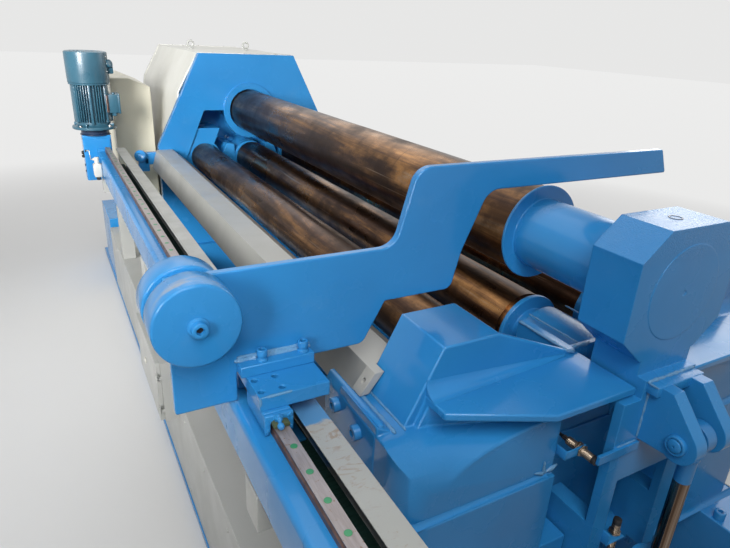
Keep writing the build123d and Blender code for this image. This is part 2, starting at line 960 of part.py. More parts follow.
def clamp_bar():
    x = (-clamp_left, -clamp_right)
    y = (arm_front_y - clamp_length, arm_front_y)
    return box(x, y, (carriage_plate_top, carriage_plate_top + clamp_thickness))


def pusher_arm():
    """The arm's plate: a tail over the counterweight, a neck and a long beak over the rolls."""
    foot = carriage_plate_top
    corners = [
        (-arm_tail_left, foot - arm_tail_drop, arm_corner),
        (-arm_tail_left, foot + arm_tail_rise, arm_corner),
        (-arm_neck_foot, foot + arm_tail_rise, arm_neck_radius),
        (-arm_neck_head, foot + arm_top_rise, arm_neck_radius),
        (arm_tip_top, foot + arm_top_rise, arm_corner),
        (arm_tip_low, foot + arm_beak_rise, arm_corner),
        (-arm_throat, foot + arm_beak_rise, arm_neck_radius),
        (-arm_bend, foot + arm_bend_rise, arm_bend_radius),
        (-arm_chin, foot + arm_chin_rise, arm_neck_radius / 2),
        (-arm_step, foot + arm_chin_rise, arm_corner),
        (-arm_foot, foot, arm_neck_radius / 2),
        (-arm_tail_right, foot, arm_corner),
        (-arm_tail_right, foot - arm_tail_drop, arm_corner),
    ]
    path = FilletPolyline(
        *[(x, arm_front_y, z) for x, z, radius in corners],
        radius=[radius for x, z, radius in corners],
        close=True,
    )
    return extrude(make_face(path), amount=arm_thickness, dir=(0, 1, 0))


def counterweight():
    """Two discs, one each side of the arm's tail, on a bolt through their middle."""
    x, z = -weight_offset, weight_height
    front_y = arm_front_y - front_weight_length
    front = rod_along_y(x, z, weight_radius, front_y, arm_front_y)
    bolt = rod_along_y(x, z, weight_bolt_radius, front_y - weight_bolt_height, front_y)
    rear = rod_along_y(x, z, weight_radius, arm_back_y, arm_back_y + rear_weight_length)
    return Compound(children=[front + bolt, rear])


# Belt gearbox and motor

def belt_gearbox():
    half = gearbox_width / 2
    x = -gearbox_offset
    case = box((x - half, x + half), gearbox_y, (gearbox_bottom, gearbox_top))
    case = fillet(case.edges().filter_by(Axis.Z), gearbox_corner)
    neck_top = gearbox_top + gearbox_neck_height
    return case + rod_along_z(x, pulley_far_y, gearbox_neck_radius, gearbox_top, neck_top)


def pusher_motor():
    """The motor on its flange, with cooling fins, a fan cowl and two boxes on its side."""
    x, y = -gearbox_offset, pulley_far_y
    flange_low = gearbox_top + gearbox_neck_height
    body_low = flange_low + motor_flange_thickness
    body_top = body_low + motor_body_length
    motor = rod_along_z(x, y, motor_flange_radius, flange_low, body_low)
    motor += rod_along_z(x, y, motor_body_radius, body_low, body_top)
    motor += rod_along_z(x, y, motor_cowl_radius, body_top, body_top + motor_cowl_length)
    fin = box(
        (motor_body_radius - motor_fin_width, motor_body_radius + motor_fin_height),
        (-motor_fin_width / 2, motor_fin_width / 2),
        (body_low + motor_fin_start, body_top),
    )
    for index in range(motor_fin_count):
        motor += Pos(x, y, 0) * Rot(0, 0, index * 360 / motor_fin_count) * fin
    terminal = box(
        (x, x + motor_body_radius + terminal_box_reach),
        (y - terminal_box_width / 2, y + terminal_box_width / 2),
        (body_low + terminal_box_low, body_low + terminal_box_low + terminal_box_height),
    )
    terminal = fillet(terminal.edges().filter_by(Axis.X), terminal_box_corner)
    cable_box = box(
        (x, x + motor_body_radius + cable_box_reach),
        (y - cable_box_width / 2, y + cable_box_width / 2),
        (body_low + cable_box_low, body_low + cable_box_low + cable_box_height),
    )
    return motor + terminal + cable_box


# Drop end

def head_outline():
    z = top_axis_height
    return [
        (-head_half_width + head_chamfer_across, z - head_half_height),
        (-head_half_width, z - head_half_height + head_chamfer_up),
        (-head_half_width, z + head_half_height - head_chamfer_up),
        (-head_half_width + head_chamfer_across, z + head_half_height),
    ]


def leg_outline():
    """A side view of one leg: the front plate, and the cheek and boss behind it."""
    return [
        (leg_front_y, tilt_axis_height),
        (leg_front_y, leg_plate_top),
        (head_front_y, leg_plate_top),
        (head_front_y, leg_cheek_top),
        (head_back_y, leg_cheek_top),
        (head_back_y, tilt_axis_height),
    ]


def lug():
    """The left lug that the cylinder's pin passes through."""
    outline = [
        (leg_front_y, lug_top),
        (leg_front_y - lug_top_reach, lug_top),
        (pin_axis_y - lug_radius * 0.8, pin_axis_height + lug_radius * 0.6),
        (pin_axis_y - lug_radius * 0.6, pin_axis_height - lug_radius * 0.8),
        (leg_front_y, lug_foot),
    ]
    x = (-lug_outer, -lug_outer + lug_thickness)
    plate = plate_along_x(outline, *x)
    plate += rod_along_x(pin_axis_y, pin_axis_height, lug_radius, *x)
    return plate - rod_along_x(pin_axis_y, pin_axis_height, pin_radius + journal_clearance, *x)


def drop_end():
    """The eight-sided head on its neck, with two legs down to the shaft that it tips about."""
    z = top_axis_height
    head = plate_along_y(mirrored(head_outline()), head_front_y, head_back_y)
    head += rod_along_y(0, z, head_cover_radius, head_front_y - head_cover_height, head_front_y)
    head -= rod_along_y(0, z, head_cover_hole, head_front_y - head_cover_height, head_front_y)
    bore_radius = cone_radius + cone_gap
    bore_length = cone_length + face_gap
    bore_tip = bore_radius - bore_length * math.tan(math.radians(cone_angle))
    head -= turned(0, z, [(head_back_y - bore_length, bore_tip), (head_back_y, bore_radius)])
    neck_x = (-neck_half_width, neck_half_width)
    neck = box(neck_x, (head_front_y, head_back_y), (neck_bottom, z - head_half_height))
    neck += box(neck_x, (leg_front_y, head_front_y), (window_top, shoulder_plate_top))
    across = box((-leg_outer, leg_outer), (leg_front_y, head_front_y), (window_top, leg_plate_top))
    leg_x = (-leg_outer, -leg_inner)
    leg = plate_along_x(leg_outline(), *leg_x)
    leg += rod_along_x(tilt_axis_y, tilt_axis_height, tilt_boss_radius, *leg_x)
    leg -= rod_along_x(tilt_axis_y, tilt_axis_height, tilt_pin_radius + journal_clearance, *leg_x)
    flag = box((-flag_left, -flag_right), (leg_front_y - flag_thickness, leg_front_y), (flag_low, flag_low + flag_height))
    return head + neck + across + both_sides(leg) + both_sides(lug()) + flag


def tilt_shaft():
    reach = tower_inner - shaft_inset
    return rod_along_x(tilt_axis_y, tilt_axis_height, tilt_pin_radius, -reach, reach)


def lug_pin():
    pin = rod_along_x(pin_axis_y, pin_axis_height, pin_radius, -lug_outer, lug_outer)
    head_x = (-lug_outer - pin_head_height, -lug_outer)
    return pin + rod_along_x(pin_axis_y, pin_axis_height, pin_head_radius, *head_x)


# Tilting cylinder

def cylinder_rod():
    """The rod, its neck and the eye between the two lugs."""
    reach = rod_eye_thickness / 2
    eye = rod_along_x(pin_axis_y, pin_axis_height, rod_eye_radius, -reach, reach)
    eye -= rod_along_x(pin_axis_y, pin_axis_height, pin_radius + journal_clearance, -reach, reach)
    neck_top = pin_axis_height - rod_eye_radius + rod_neck_seat
    neck = rod_along_z(0, pin_axis_y, rod_radius + rod_neck_wall, neck_top - rod_neck_length, neck_top)
    return eye + neck + rod_along_z(0, pin_axis_y, rod_radius, pin_axis_height - rod_length, neck_top)


def cylinder_barrel():
    """The barrel with its gland at the top, on the foot that it pivots about."""
    low = foot_axis_height + barrel_start
    high = foot_axis_height + barrel_length
    barrel = rod_along_z(0, pin_axis_y, barrel_radius, low, high)
    barrel += rod_along_z(0, pin_axis_y, barrel_radius + gland_wall, high - gland_length, high)
    foot = (-foot_thickness / 2, foot_thickness / 2)
    barrel += rod_along_x(pin_axis_y, foot_axis_height, foot_radius, *foot)
    barrel += box(foot, (pin_axis_y - foot_radius, pin_axis_y + foot_radius), (foot_axis_height, low))
    bore_radius = rod_radius + barrel_bore_clearance
    return barrel - rod_along_z(0, pin_axis_y, bore_radius, foot_axis_height + barrel_floor, high)


def cylinder_bracket():
    """Two ears on a plate between the girders, one each side of the cylinder's foot."""
    inner = foot_thickness / 2 + face_gap
    ear = box(
        (-inner - ear_thickness, -inner),
        (pin_axis_y - foot_radius, pin_axis_y + foot_radius),
        (foot_plate_height, foot_axis_height),
    )
    ear += rod_along_x(pin_axis_y, foot_axis_height, foot_radius, -inner - ear_thickness, -inner)
    reach = foot_radius + bracket_margin
    base = box((-girder_inner, girder_inner), (pin_axis_y - reach, pin_axis_y + reach), (0, foot_plate_height))
    return base + both_sides(ear)


# Small fittings

def hinge_heights():
    """Where the two hinges of the box's lid start."""
    return (box_low + hinge_inset, box_high - hinge_inset - hinge_length)


def junction_box():
    """The box on the side cover, with the fixed half of each hinge."""
    x = (-box_left + lid_thickness, -cover_half_width)
    case = box(x, (box_near_y, box_near_y + box_length), (box_low, box_high))
    for z in hinge_heights():
        half = (z, z + hinge_length / 2)
        case += rod_along_z(-box_left, box_near_y, hinge_radius, *half)
        case += box((-box_left, x[0]), (box_near_y, box_near_y + hinge_leaf), half)
    return case


def junction_box_lid():
    """The lid, with its half of each hinge above the fixed half."""
    x = (-box_left, -box_left + lid_thickness - guide_gap)
    lid = box(x, (box_near_y + lid_edge, box_near_y + box_length), (box_low, box_high))
    for z in hinge_heights():
        half = (z + hinge_length / 2 + guide_gap, z + hinge_length)
        lid += rod_along_z(-box_left, box_near_y, hinge_radius, *half)
        lid += box((-box_left, -box_left + hinge_leaf), (box_near_y, box_near_y + lid_edge), half)
    return lid


def limit_switch():
    """The switch on the beam's side, with its lever on top."""
    y_high = beam_far_y - switch_far_gap
    y = (y_high - switch_width, y_high)
    top = beam_top - switch_top_gap
    body = box((beam_left - switch_reach, beam_left), y, (beam_bottom + switch_low, top))
    middle = beam_left - switch_reach / 2
    lever_y = (y[0] + lever_thickness, y[0] + lever_thickness * 2)
    lever_x = (middle - lever_width / 2, middle + lever_width / 2)
    return body + box(lever_x, lever_y, (top, top + lever_height))


parts = {
    "bed_frame": bed_frame(),
    "left_side_cover": side_cover(),
    "right_side_cover": mirror(side_cover(), about=Plane.YZ),
    "near_frame": near_frame(),
    "far_frame": far_frame(),
    "drive_housing": drive_housing(),
    "lifting_eyes": lifting_eyes(),
    "control_cabinet": control_cabinet(),
    "left_guard": guard(),
    "right_guard": mirror(guard(), about=Plane.YZ),
    "beam_tube": beam_tube(),
    "beam_brackets": beam_brackets(),
    "linear_rail": linear_rail(),
    "drive_belt": drive_belt(),
    "belt_pulleys": belt_pulleys(),
    "belt_cover": belt_cover(),
    "belt_gearbox": belt_gearbox(),
    "pusher_motor": pusher_motor(),
    "junction_box": junction_box(),
    "limit_switch": limit_switch(),
    "cylinder_bracket": cylinder_bracket(),
    "tilt_shaft": tilt_shaft(),
    "top_roll": top_roll(),
    "top_roll_sleeve": top_roll_sleeve(),
    "bottom_roll": bottom_roll(),
    "bottom_roll_collar": bottom_roll_collar(),
    "bottom_near_bearing": bottom_near_bearing(),
    "bottom_far_bearing": bottom_far_bearing(),
    "carriage_blocks": carriage_blocks(),
    "carriage_plate": carriage_plate(),
    "clamp_bar": clamp_bar(),
    "pusher_arm": pusher_arm(),
    "counterweight": counterweight(),
    "drop_end": drop_end(),
    "lug_pin": lug_pin(),
    "cylinder_rod": cylinder_rod(),
    "cylinder_barrel": cylinder_barrel(),
    "junction_box_lid": junction_box_lid(),
}

for name, shape in (("side_roll", side_roll()), ("near_block", near_block()), ("far_block", far_block())):
    parts["left_" + name] = shape
    parts["right_" + name] = mirror(shape, about=Plane.YZ)

os.makedirs("parts", exist_ok=True)
for name, shape in parts.items():
    export_step(shape, f"parts/{name}.step")
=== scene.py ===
import json
import math

import bmesh
import bpy
import mathutils
from mathutils import Matrix, Vector

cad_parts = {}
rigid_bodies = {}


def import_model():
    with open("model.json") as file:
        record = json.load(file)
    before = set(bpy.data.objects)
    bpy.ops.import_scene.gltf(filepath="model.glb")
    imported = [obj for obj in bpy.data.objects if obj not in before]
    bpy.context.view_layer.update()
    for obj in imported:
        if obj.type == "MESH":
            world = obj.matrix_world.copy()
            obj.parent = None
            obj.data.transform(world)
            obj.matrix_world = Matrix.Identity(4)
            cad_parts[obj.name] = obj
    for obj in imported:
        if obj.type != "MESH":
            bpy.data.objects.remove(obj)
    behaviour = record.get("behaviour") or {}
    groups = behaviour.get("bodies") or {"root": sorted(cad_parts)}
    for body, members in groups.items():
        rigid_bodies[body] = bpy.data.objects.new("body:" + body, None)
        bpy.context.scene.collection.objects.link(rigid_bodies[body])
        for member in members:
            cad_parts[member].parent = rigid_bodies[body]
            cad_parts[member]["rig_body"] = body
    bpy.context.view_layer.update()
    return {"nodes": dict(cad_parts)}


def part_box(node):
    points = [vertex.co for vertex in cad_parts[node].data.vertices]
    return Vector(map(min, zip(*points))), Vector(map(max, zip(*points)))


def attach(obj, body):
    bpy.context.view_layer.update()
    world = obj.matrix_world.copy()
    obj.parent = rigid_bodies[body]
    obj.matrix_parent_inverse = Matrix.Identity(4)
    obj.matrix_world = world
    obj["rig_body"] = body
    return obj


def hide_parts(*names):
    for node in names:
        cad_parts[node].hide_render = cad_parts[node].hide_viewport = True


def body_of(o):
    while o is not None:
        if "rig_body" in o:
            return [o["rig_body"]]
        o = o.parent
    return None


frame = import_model()
nodes = frame["nodes"]
print("frame loaded:", len(nodes), "nodes")


def linkObject(name, data):
    obj = bpy.data.objects.new(name, data)
    bpy.context.scene.collection.objects.link(obj)
    return obj


# Camera, from the photo's three vanishing points

camera = {
    "place": (-0.988, -2.015, 1.500),
    "right": (0.8790, -0.4745, 0.0469),
    "up": (0.1452, 0.3601, 0.9215),
    "lens": 28.37,
    "sensor": 36,
    "reach": 200,
}


def addCamera():
    data = bpy.data.cameras.new("camera")
    data.lens, data.sensor_width, data.clip_end = camera["lens"], camera["sensor"], camera["reach"]
    right = Vector(camera["right"]).normalized()
    back = right.cross(Vector(camera["up"])).normalized()
    turn = Matrix((right, back.cross(right), back)).transposed().to_4x4()
    obj = linkObject("camera", data)
    obj.matrix_world = Matrix.Translation(camera["place"]) @ turn
    bpy.context.scene.camera = obj


# Node helpers, for the material in hand, or the world

inHand = {"owner": None}


def setInputs(node, inputs):
    # another node's socket is linked, a number, a vector or a colour is written
    for name, value in inputs.items():
        socket = node.inputs[name]
        if isinstance(value, bpy.types.NodeSocket):
            node.id_data.links.new(value, socket)
        else:
            isColour = socket.type == "RGBA" and isinstance(value, tuple)
            socket.default_value = (*value, 1) if isColour else value
    return node


def addNode(kind, inputs, **settings):
    node = inHand["owner"].node_tree.nodes.new("ShaderNode" + kind)
    for name, value in settings.items():
        setattr(node, name, value)
    return setInputs(node, inputs)


def shade(inputs):
    setInputs(inHand["owner"].node_tree.nodes["Principled BSDF"], inputs)
    return inHand["owner"]


def startMaterial(name, roughness=0.5, metallic=0.0, coat=0.0, coatRoughness=0.1, specular=0.5):
    inHand["owner"] = bpy.data.materials.new(name)
    inHand["owner"].use_nodes = True
    shade({
        "Roughness": roughness, "Metallic": metallic, "Specular IOR Level": specular,
        "Coat Weight": coat, "Coat Roughness": coatRoughness,
    })


def objectPoint(stretch=(1, 1, 1)):
    point = addNode("TexCoord", {}).outputs["Object"]
    mapping = addNode("Mapping", {"Scale": stretch, "Vector": point})
    return mapping.outputs["Vector"]


def objectAxis(axis):
    return addNode("SeparateXYZ", {0: objectPoint()}).outputs[axis]


def noise(scale, detail=4, stretch=(1, 1, 1), rough=0.5, distortion=0.0):
    return addNode("TexNoise", {
        "Scale": scale, "Detail": detail, "Roughness": rough, "Distortion": distortion,
        "Vector": objectPoint(stretch),
    }).outputs["Fac"]


def ramp(value, *stops):
    node = addNode("ValToRGB", {"Fac": value})
    elements = node.color_ramp.elements
    while len(elements) < len(stops):
        elements.new(0.5)
    for element, (place, colour) in zip(elements, stops):
        element.position = place
        element.color = (*colour, 1)
    return node.outputs["Color"]


def greyRamp(value, low, high, darkValue=0.0, brightValue=1.0):
    return addNode("MapRange", {
        "Value": value, "From Min": low, "From Max": high,
        "To Min": darkValue, "To Max": brightValue,
    }, clamp=True).outputs["Result"]


def mixColour(factor, first, second, blend="MIX"):
    inputs = {0: factor, 6: first, 7: second}
    return addNode("Mix", inputs, data_type="RGBA", blend_type=blend).outputs[2]


def maths(operation, first, second=0.0):
    return addNode("Math", {0: first, 1: second}, operation=operation).outputs[0]


def bump(height, strength, distance, before=None):
    inputs = {"Strength": strength, "Distance": distance, "Height": height}
    if before:
        inputs["Normal"] = before
    return addNode("Bump", inputs).outputs["Normal"]


def softEdge(radius):
    return addNode("Bevel", {"Radius": radius}, samples=4).outputs["Normal"]


def dimmed(colour, share):
    return tuple(share * value for value in colour)


# Finishes

bluePaint = {
    "light": (0.026, 0.235, 0.545),
    "deep": (0.019, 0.180, 0.440),
    "dust": (0.12, 0.29, 0.48),
    "rimHighlight": (0.30, 0.33, 0.37),
    "roughness": (0.16, 0.36),
    "edgeRadius": 0.003,
    "peelScale": 240,      # orange peel of a hand-sprayed enamel
    "pebbleScale": 420,
}

beigePaint = {
    "light": (0.445, 0.450, 0.430),
    "deep": (0.385, 0.390, 0.365),
    "stripLight": (0.350, 0.355, 0.335),
    "stripDeep": (0.300, 0.305, 0.285),
    "grime": (0.26, 0.21, 0.15),
    "rustSmear": (0.24, 0.165, 0.11),
    "blueUnderPlate": (0.05, 0.22, 0.45),
    "roughness": (0.32, 0.52),
    "edgeRadius": 0.002,
}

rollSteel = {
    "dark": (0.030, 0.017, 0.012),
    "brown": (0.090, 0.046, 0.027),
    "amber": (0.330, 0.165, 0.060),
    "bare": (0.35, 0.265, 0.195),
    "turnedPitch": 420,
}

railSteel = {
    "dust": ((0.24, 0.21, 0.205), (0.36, 0.325, 0.32)),
    "rust": ((0.07, 0.042, 0.035), (0.17, 0.10, 0.085)),
    "pits": (0.20, 0.09, 0.04),
}

tintedChrome = [
    (0.38, (0.10, 0.062, 0.042)),
    (0.54, (0.24, 0.165, 0.115)),
    (0.70, (0.46, 0.38, 0.31)),
]


def paintedBlue(name, peel=0.05, pebble=0.0, pebbleFrom=None, paintedHighlight=0.0, rimHighlightFrom=None):
    startMaterial(name, coat=0.28, coatRoughness=0.10, specular=0.22)
    tone = noise(1.7, detail=5)
    colour = ramp(tone, (0.35, bluePaint["deep"]), (0.65, bluePaint["light"]))
    dust = greyRamp(noise(9, detail=8, rough=0.7), 0.60, 0.80, 0, 0.22)
    colour = mixColour(dust, colour, bluePaint["dust"])
    # painted highlight: the colour is mixed towards the pale dust blue, as on the glossy weld beads
    if paintedHighlight:
        colour = mixColour(paintedHighlight, colour, bluePaint["dust"])
    if rimHighlightFrom:    # a grey painted highlight round the top of the rim
        low, high = rimHighlightFrom
        start = low[2] + 0.55 * (high[2] - low[2])
        height = greyRamp(objectAxis("Z"), start, high[2] - 0.004)
        band = greyRamp(objectAxis("Y"), low[1] + 0.020, low[1] + 0.030)
        fade = greyRamp(objectAxis("Y"), low[1] + 0.052, low[1] + 0.044)
        band = maths("MULTIPLY", band, fade)
        highlightMask = noise(22, detail=6, stretch=(1, 2.5, 1))
        highlightMask = greyRamp(highlightMask, 0.42, 0.62, 0, 0.75)
        highlightMask = maths("MULTIPLY", highlightMask, maths("MULTIPLY", height, band))
        colour = mixColour(highlightMask, colour, bluePaint["rimHighlight"])
    shine = greyRamp(noise(6, detail=6), 0.35, 0.7, *bluePaint["roughness"])
    normal = softEdge(bluePaint["edgeRadius"])
    normal = bump(noise(13, detail=2), 0.18, 0.004, normal)
    normal = bump(noise(bluePaint["peelScale"], detail=1), peel, 0.0012, normal)
    if pebble:
        grains = noise(bluePaint["pebbleScale"], detail=2)
        if pebbleFrom:
            above = greyRamp(objectAxis("Z"), *pebbleFrom)
            grains = maths("MULTIPLY", grains, above)
        normal = bump(grains, pebble, 0.0022, normal)
    return shade({"Base Color": colour, "Roughness": shine, "Normal": normal})


def paintedBeige(name, speckle=0.0, tint=(1, 1, 1)):
    startMaterial(name, coat=0.15, coatRoughness=0.15)
    tone = noise(2.2, detail=5)
    colour = ramp(tone, (0.35, beigePaint["deep"]), (0.65, beigePaint["light"]))
    colour = mixColour(1.0, colour, tint, blend="MULTIPLY")
    spots = greyRamp(noise(34, detail=7, rough=0.75), 0.62, 0.78, 0, 0.45)
    normal = softEdge(beigePaint["edgeRadius"])
    return shade({
        "Base Color": mixColour(spots, colour, beigePaint["grime"]),
        "Roughness": greyRamp(noise(8, detail=5), 0.35, 0.7, *beigePaint["roughness"]),
        "Normal": bump(noise(320, detail=1), 0.08 + speckle, 0.0012, normal),
    })


def stripPaint(name, carriageY):
    # rusty smears across the strip, most near the carriage, and a dark blue patch under the
    # carriage plate
    startMaterial(name, coat=0.1, coatRoughness=0.2)
    tone = noise(2.2, detail=5)
    colour = ramp(tone, (0.35, beigePaint["stripDeep"]), (0.65, beigePaint["stripLight"]))
    along = objectAxis("Y")
    near = maths("ABSOLUTE", maths("SUBTRACT", along, carriageY - 0.07))
    near = greyRamp(near, 0.04, 0.16, 1, 0.25)
    smears = noise(26, detail=5, stretch=(0.7, 1.6, 1), rough=0.6, distortion=2.2)
    smears = maths("MULTIPLY", greyRamp(smears, 0.55, 0.68, 0, 0.75), near)
    colour = mixColour(smears, colour, beigePaint["rustSmear"])
    spots = greyRamp(noise(120, detail=4), 0.66, 0.74, 0, 0.6)
    colour = mixColour(spots, colour, beigePaint["grime"])
    # a dark blue patch across the strip, under the front of the carriage plate
    ragged = maths("MULTIPLY", noise(45, detail=5), 0.05)
    edge = maths("ABSOLUTE", maths("SUBTRACT", along, carriageY + 0.012))
    cloud = greyRamp(maths("ADD", edge, ragged), 0.060, 0.066, 0.92, 0)
    normal = softEdge(0.0012)
    return shade({
        "Base Color": mixColour(cloud, colour, beigePaint["blueUnderPlate"]),
        "Roughness": greyRamp(noise(18, detail=5), 0.35, 0.7, 0.3, 0.6),
        "Normal": bump(noise(300, detail=1), 0.1, 0.001, normal),
    })


def turnedRoll(name):
    startMaterial(name, metallic=0.95)
    along = noise(3.0, detail=7, stretch=(5, 0.35, 5), rough=0.7, distortion=0.5)
    patches = noise(5.5, detail=8, stretch=(1, 0.7, 1), rough=0.65)
    places = ((0.34, "dark"), (0.47, "brown"), (0.60, "amber"), (0.72, "bare"))
    colour = ramp(along, *[(place, rollSteel[tone]) for place, tone in places])
    colour = mixColour(greyRamp(patches, 0.42, 0.60, 0, 0.85), colour, rollSteel["dark"])
    rings = noise(34, detail=3, stretch=(0.02, 1, 0.02), rough=0.8)
    colour = mixColour(greyRamp(rings, 0.60, 0.70, 0, 0.5), colour, rollSteel["dark"])
    scratches = noise(90, detail=2, stretch=(1, 0.02, 1))
    colour = mixColour(greyRamp(scratches, 0.68, 0.74, 0, 0.5), colour, rollSteel["bare"])
    turned = noise(rollSteel["turnedPitch"], detail=1, stretch=(0.01, 1, 0.01))
    normal = bump(turned, 0.3, 0.0004, softEdge(0.002))
    return shade({
        "Base Color": colour,
        "Roughness": greyRamp(patches, 0.35, 0.65, 0.20, 0.46),
        "Normal": bump(noise(9, detail=6, stretch=(2, 0.6, 2)), 0.2, 0.002, normal),
    })


def brushedSteel(name, base, rust=0.3, roughness=(0.25, 0.45)):
    startMaterial(name, metallic=0.9)
    grain = noise(60, detail=4, stretch=(8, 0.3, 8))
    colour = ramp(grain, (0.3, dimmed(base, 0.6)), (0.7, base))
    rusty = greyRamp(noise(14, detail=9, rough=0.75), 0.50, 0.68, 0, rust)
    return shade({
        "Base Color": mixColour(rusty, colour, (0.16, 0.085, 0.05)),
        "Roughness": greyRamp(grain, 0.3, 0.7, *roughness),
        "Normal": bump(grain, 0.1, 0.0004, softEdge(0.0012)),
    })


def rustyRail(name, crownHeight):
    # pale and dusty on its crown, rusty down its sides
    startMaterial(name, metallic=0.5)
    grain = noise(70, detail=5, stretch=(3, 0.3, 3))
    top = ramp(grain, *zip((0.3, 0.7), railSteel["dust"]))
    side = ramp(noise(40, detail=6), *zip((0.35, 0.65), railSteel["rust"]))
    height = greyRamp(objectAxis("Z"), crownHeight - 0.0016, crownHeight - 0.0006)
    colour = mixColour(height, side, top)
    spots = greyRamp(noise(160, detail=4), 0.64, 0.70, 0, 0.8)
    return shade({
        "Base Color": mixColour(spots, colour, railSteel["pits"]),
        "Roughness": greyRamp(grain, 0.3, 0.7, 0.35, 0.55),
        "Normal": bump(grain, 0.1, 0.0004),
    })


def pistonRod(name, paintedFrom):
    # bronze-tinted chrome, with the eye and neck under the machine's blue enamel
    startMaterial(name)
    painted = greyRamp(objectAxis("Z"), paintedFrom - 0.001, paintedFrom)
    chrome = ramp(noise(60, detail=4, stretch=(4, 4, 0.05)), *tintedChrome)
    return shade({
        "Base Color": mixColour(painted, chrome, bluePaint["deep"]),
        "Metallic": maths("SUBTRACT", 1.0, painted),
        "Roughness": greyRamp(painted, 0, 1, 0.14, 0.28),
        "Normal": bump(maths("MULTIPLY", noise(260, detail=2), painted), 0.25, 0.0015,
                       softEdge(0.002)),
    })


def dullRubber(name, base):
    startMaterial(name, roughness=0.6)
    return shade({
        "Base Color": ramp(noise(40, detail=4), (0.3, dimmed(base, 0.6)), (0.7, base)),
        "Normal": bump(noise(500, detail=2), 0.1, 0.0005),
    })


def glossPaint(name, base, roughness=(0.25, 0.4)):
    startMaterial(name, coat=0.2, coatRoughness=0.15)
    return shade({
        "Base Color": ramp(noise(8, detail=5), (0.3, dimmed(base, 0.75)), (0.7, base)),
        "Roughness": greyRamp(noise(20, detail=4), 0.35, 0.7, *roughness),
        "Normal": bump(noise(400, detail=1), 0.05, 0.0006, softEdge(0.0015)),
    })


blue = paintedBlue("blue enamel")
pebbledBlue = paintedBlue("blue enamel, pebbled above", pebble=0.55, pebbleFrom=(1.155, 1.175))
speckledBlue = paintedBlue("blue enamel, speckled", peel=0.15, pebble=0.45)
lumpyBlue = paintedBlue("blue enamel over weld", peel=0.3, pebble=0.4)
# the weld beads are paler: a painted highlight
weldBlue = paintedBlue("blue enamel on weld beads, with painted highlight", peel=0.4, pebble=0.9, paintedHighlight=0.9)
# the counterweight's rim gets a grey painted highlight along its top
rimHighlightBlue = paintedBlue("blue enamel, painted highlight on the rim", rimHighlightFrom=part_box("counterweight"))
beige = paintedBeige("beige paint")
paleBeige = paintedBeige("beige paint, pale", speckle=0.1, tint=(1.40, 1.38, 1.33))
# the guards' beige is darkened: painted shade, as they stand in shade under the arm
beigeWithPaintedShade = paintedBeige("beige paint, darkened with painted shade", tint=(0.80, 0.79, 0.78))
warmBeige = paintedBeige("beige paint, warm", tint=(1.50, 1.42, 1.20))
smearedBeige = stripPaint("beige paint, smeared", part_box("carriage_plate")[0][1])
rollMetal = turnedRoll("turned roll steel")
railMetal = rustyRail("rail steel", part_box("linear_rail")[1][2])
plainMetal = brushedSteel("plain steel", (0.55, 0.54, 0.52), rust=0.15)
nickel = brushedSteel("nickel-plated brass", (0.34, 0.27, 0.20), rust=0.1, roughness=(0.22, 0.35))
rodMetal = pistonRod("tinted chrome rod", paintedFrom=0.733)
beltRubber = dullRubber("belt rubber", (0.008, 0.045, 0.034))
blackPlastic = dullRubber("black plastic", (0.012, 0.012, 0.013))
oliveSeal = dullRubber("olive seal", (0.055, 0.075, 0.028))
capGreen = glossPaint("green caps", (0.030, 0.235, 0.095), roughness=(0.4, 0.5))
motorTeal = glossPaint("motor paint", (0.031, 0.112, 0.166))
# dark blue paint, also used as painted shade on the motor neck
darkBlueAndPaintedShade = glossPaint("dark blue paint, painted shade on the motor neck", (0.012, 0.030, 0.075))
switchGrey = glossPaint("light grey casting", (0.56, 0.55, 0.50), roughness=(0.35, 0.5))
platePlain = glossPaint("blank plate", (0.23, 0.13, 0.10), roughness=(0.3, 0.4))
print("materials made")

nodeFinish = [
    (beige, "left_side_cover right_side_cover beam_brackets junction_box junction_box_lid"),
    (beigeWithPaintedShade, "left_guard right_guard"),
    (paleBeige, "drive_housing"),
    (warmBeige, "control_cabinet"),
    (smearedBeige, "belt_cover"),
    (rollMetal, "top_roll bottom_roll left_side_roll right_side_roll"),
    (railMetal, "linear_rail"),
    (plainMetal, "belt_pulleys"),
    (rodMetal, "cylinder_rod"),
    (beltRubber, "drive_belt"),
    (pebbledBlue, "drop_end"),
    (speckledBlue, "bottom_near_bearing carriage_blocks"),
]
finishOf = {name: finish for finish, names in nodeFinish for name in names.split()}

for name, obj in nodes.items():
    obj.data.materials.clear()
    obj.data.materials.append(finishOf.get(name, blue))
print("nodes dressed")


# Shapes: each helper models one closed shell on its own and adds it to the piece in hand

pieceMesh = bmesh.new()
shellMesh = bpy.data.meshes.new("shell")


def addShell(shell, place=Matrix.Identity(4)):
    bmesh.ops.transform(shell, matrix=place, verts=shell.verts)
    bmesh.ops.recalc_face_normals(shell, faces=shell.faces)
    if shell.calc_volume(signed=True) < 0:
        bmesh.ops.reverse_faces(shell, faces=shell.faces)
    shell.to_mesh(shellMesh)
    shell.free()
    pieceMesh.from_mesh(shellMesh)


def axisTurn(axis):
    return Vector((0, 0, 1)).rotation_difference(Vector(axis)).to_matrix().to_4x4()


def ends(path):
    # a path is x, y and z, each a number or a (start, end) pair
    path = list(path)
    return [Vector([part[end] if isinstance(part, tuple) else part for part in path])
            for end in (0, 1)]


def vertsOf(geom):
    return [part for part in geom if isinstance(part, bmesh.types.BMVert)]


def ringEdges(shell, verts):
    return [edge for edge in shell.edges if all(vert in verts for vert in edge.verts)]


def roundEdges(shell, edges, radius, steps=2, clamp=False):
    return bmesh.ops.bevel(shell, geom=edges, offset=radius, segments=steps, profile=0.5,
                           affect="EDGES", clamp_overlap=clamp, material=-1)["faces"]


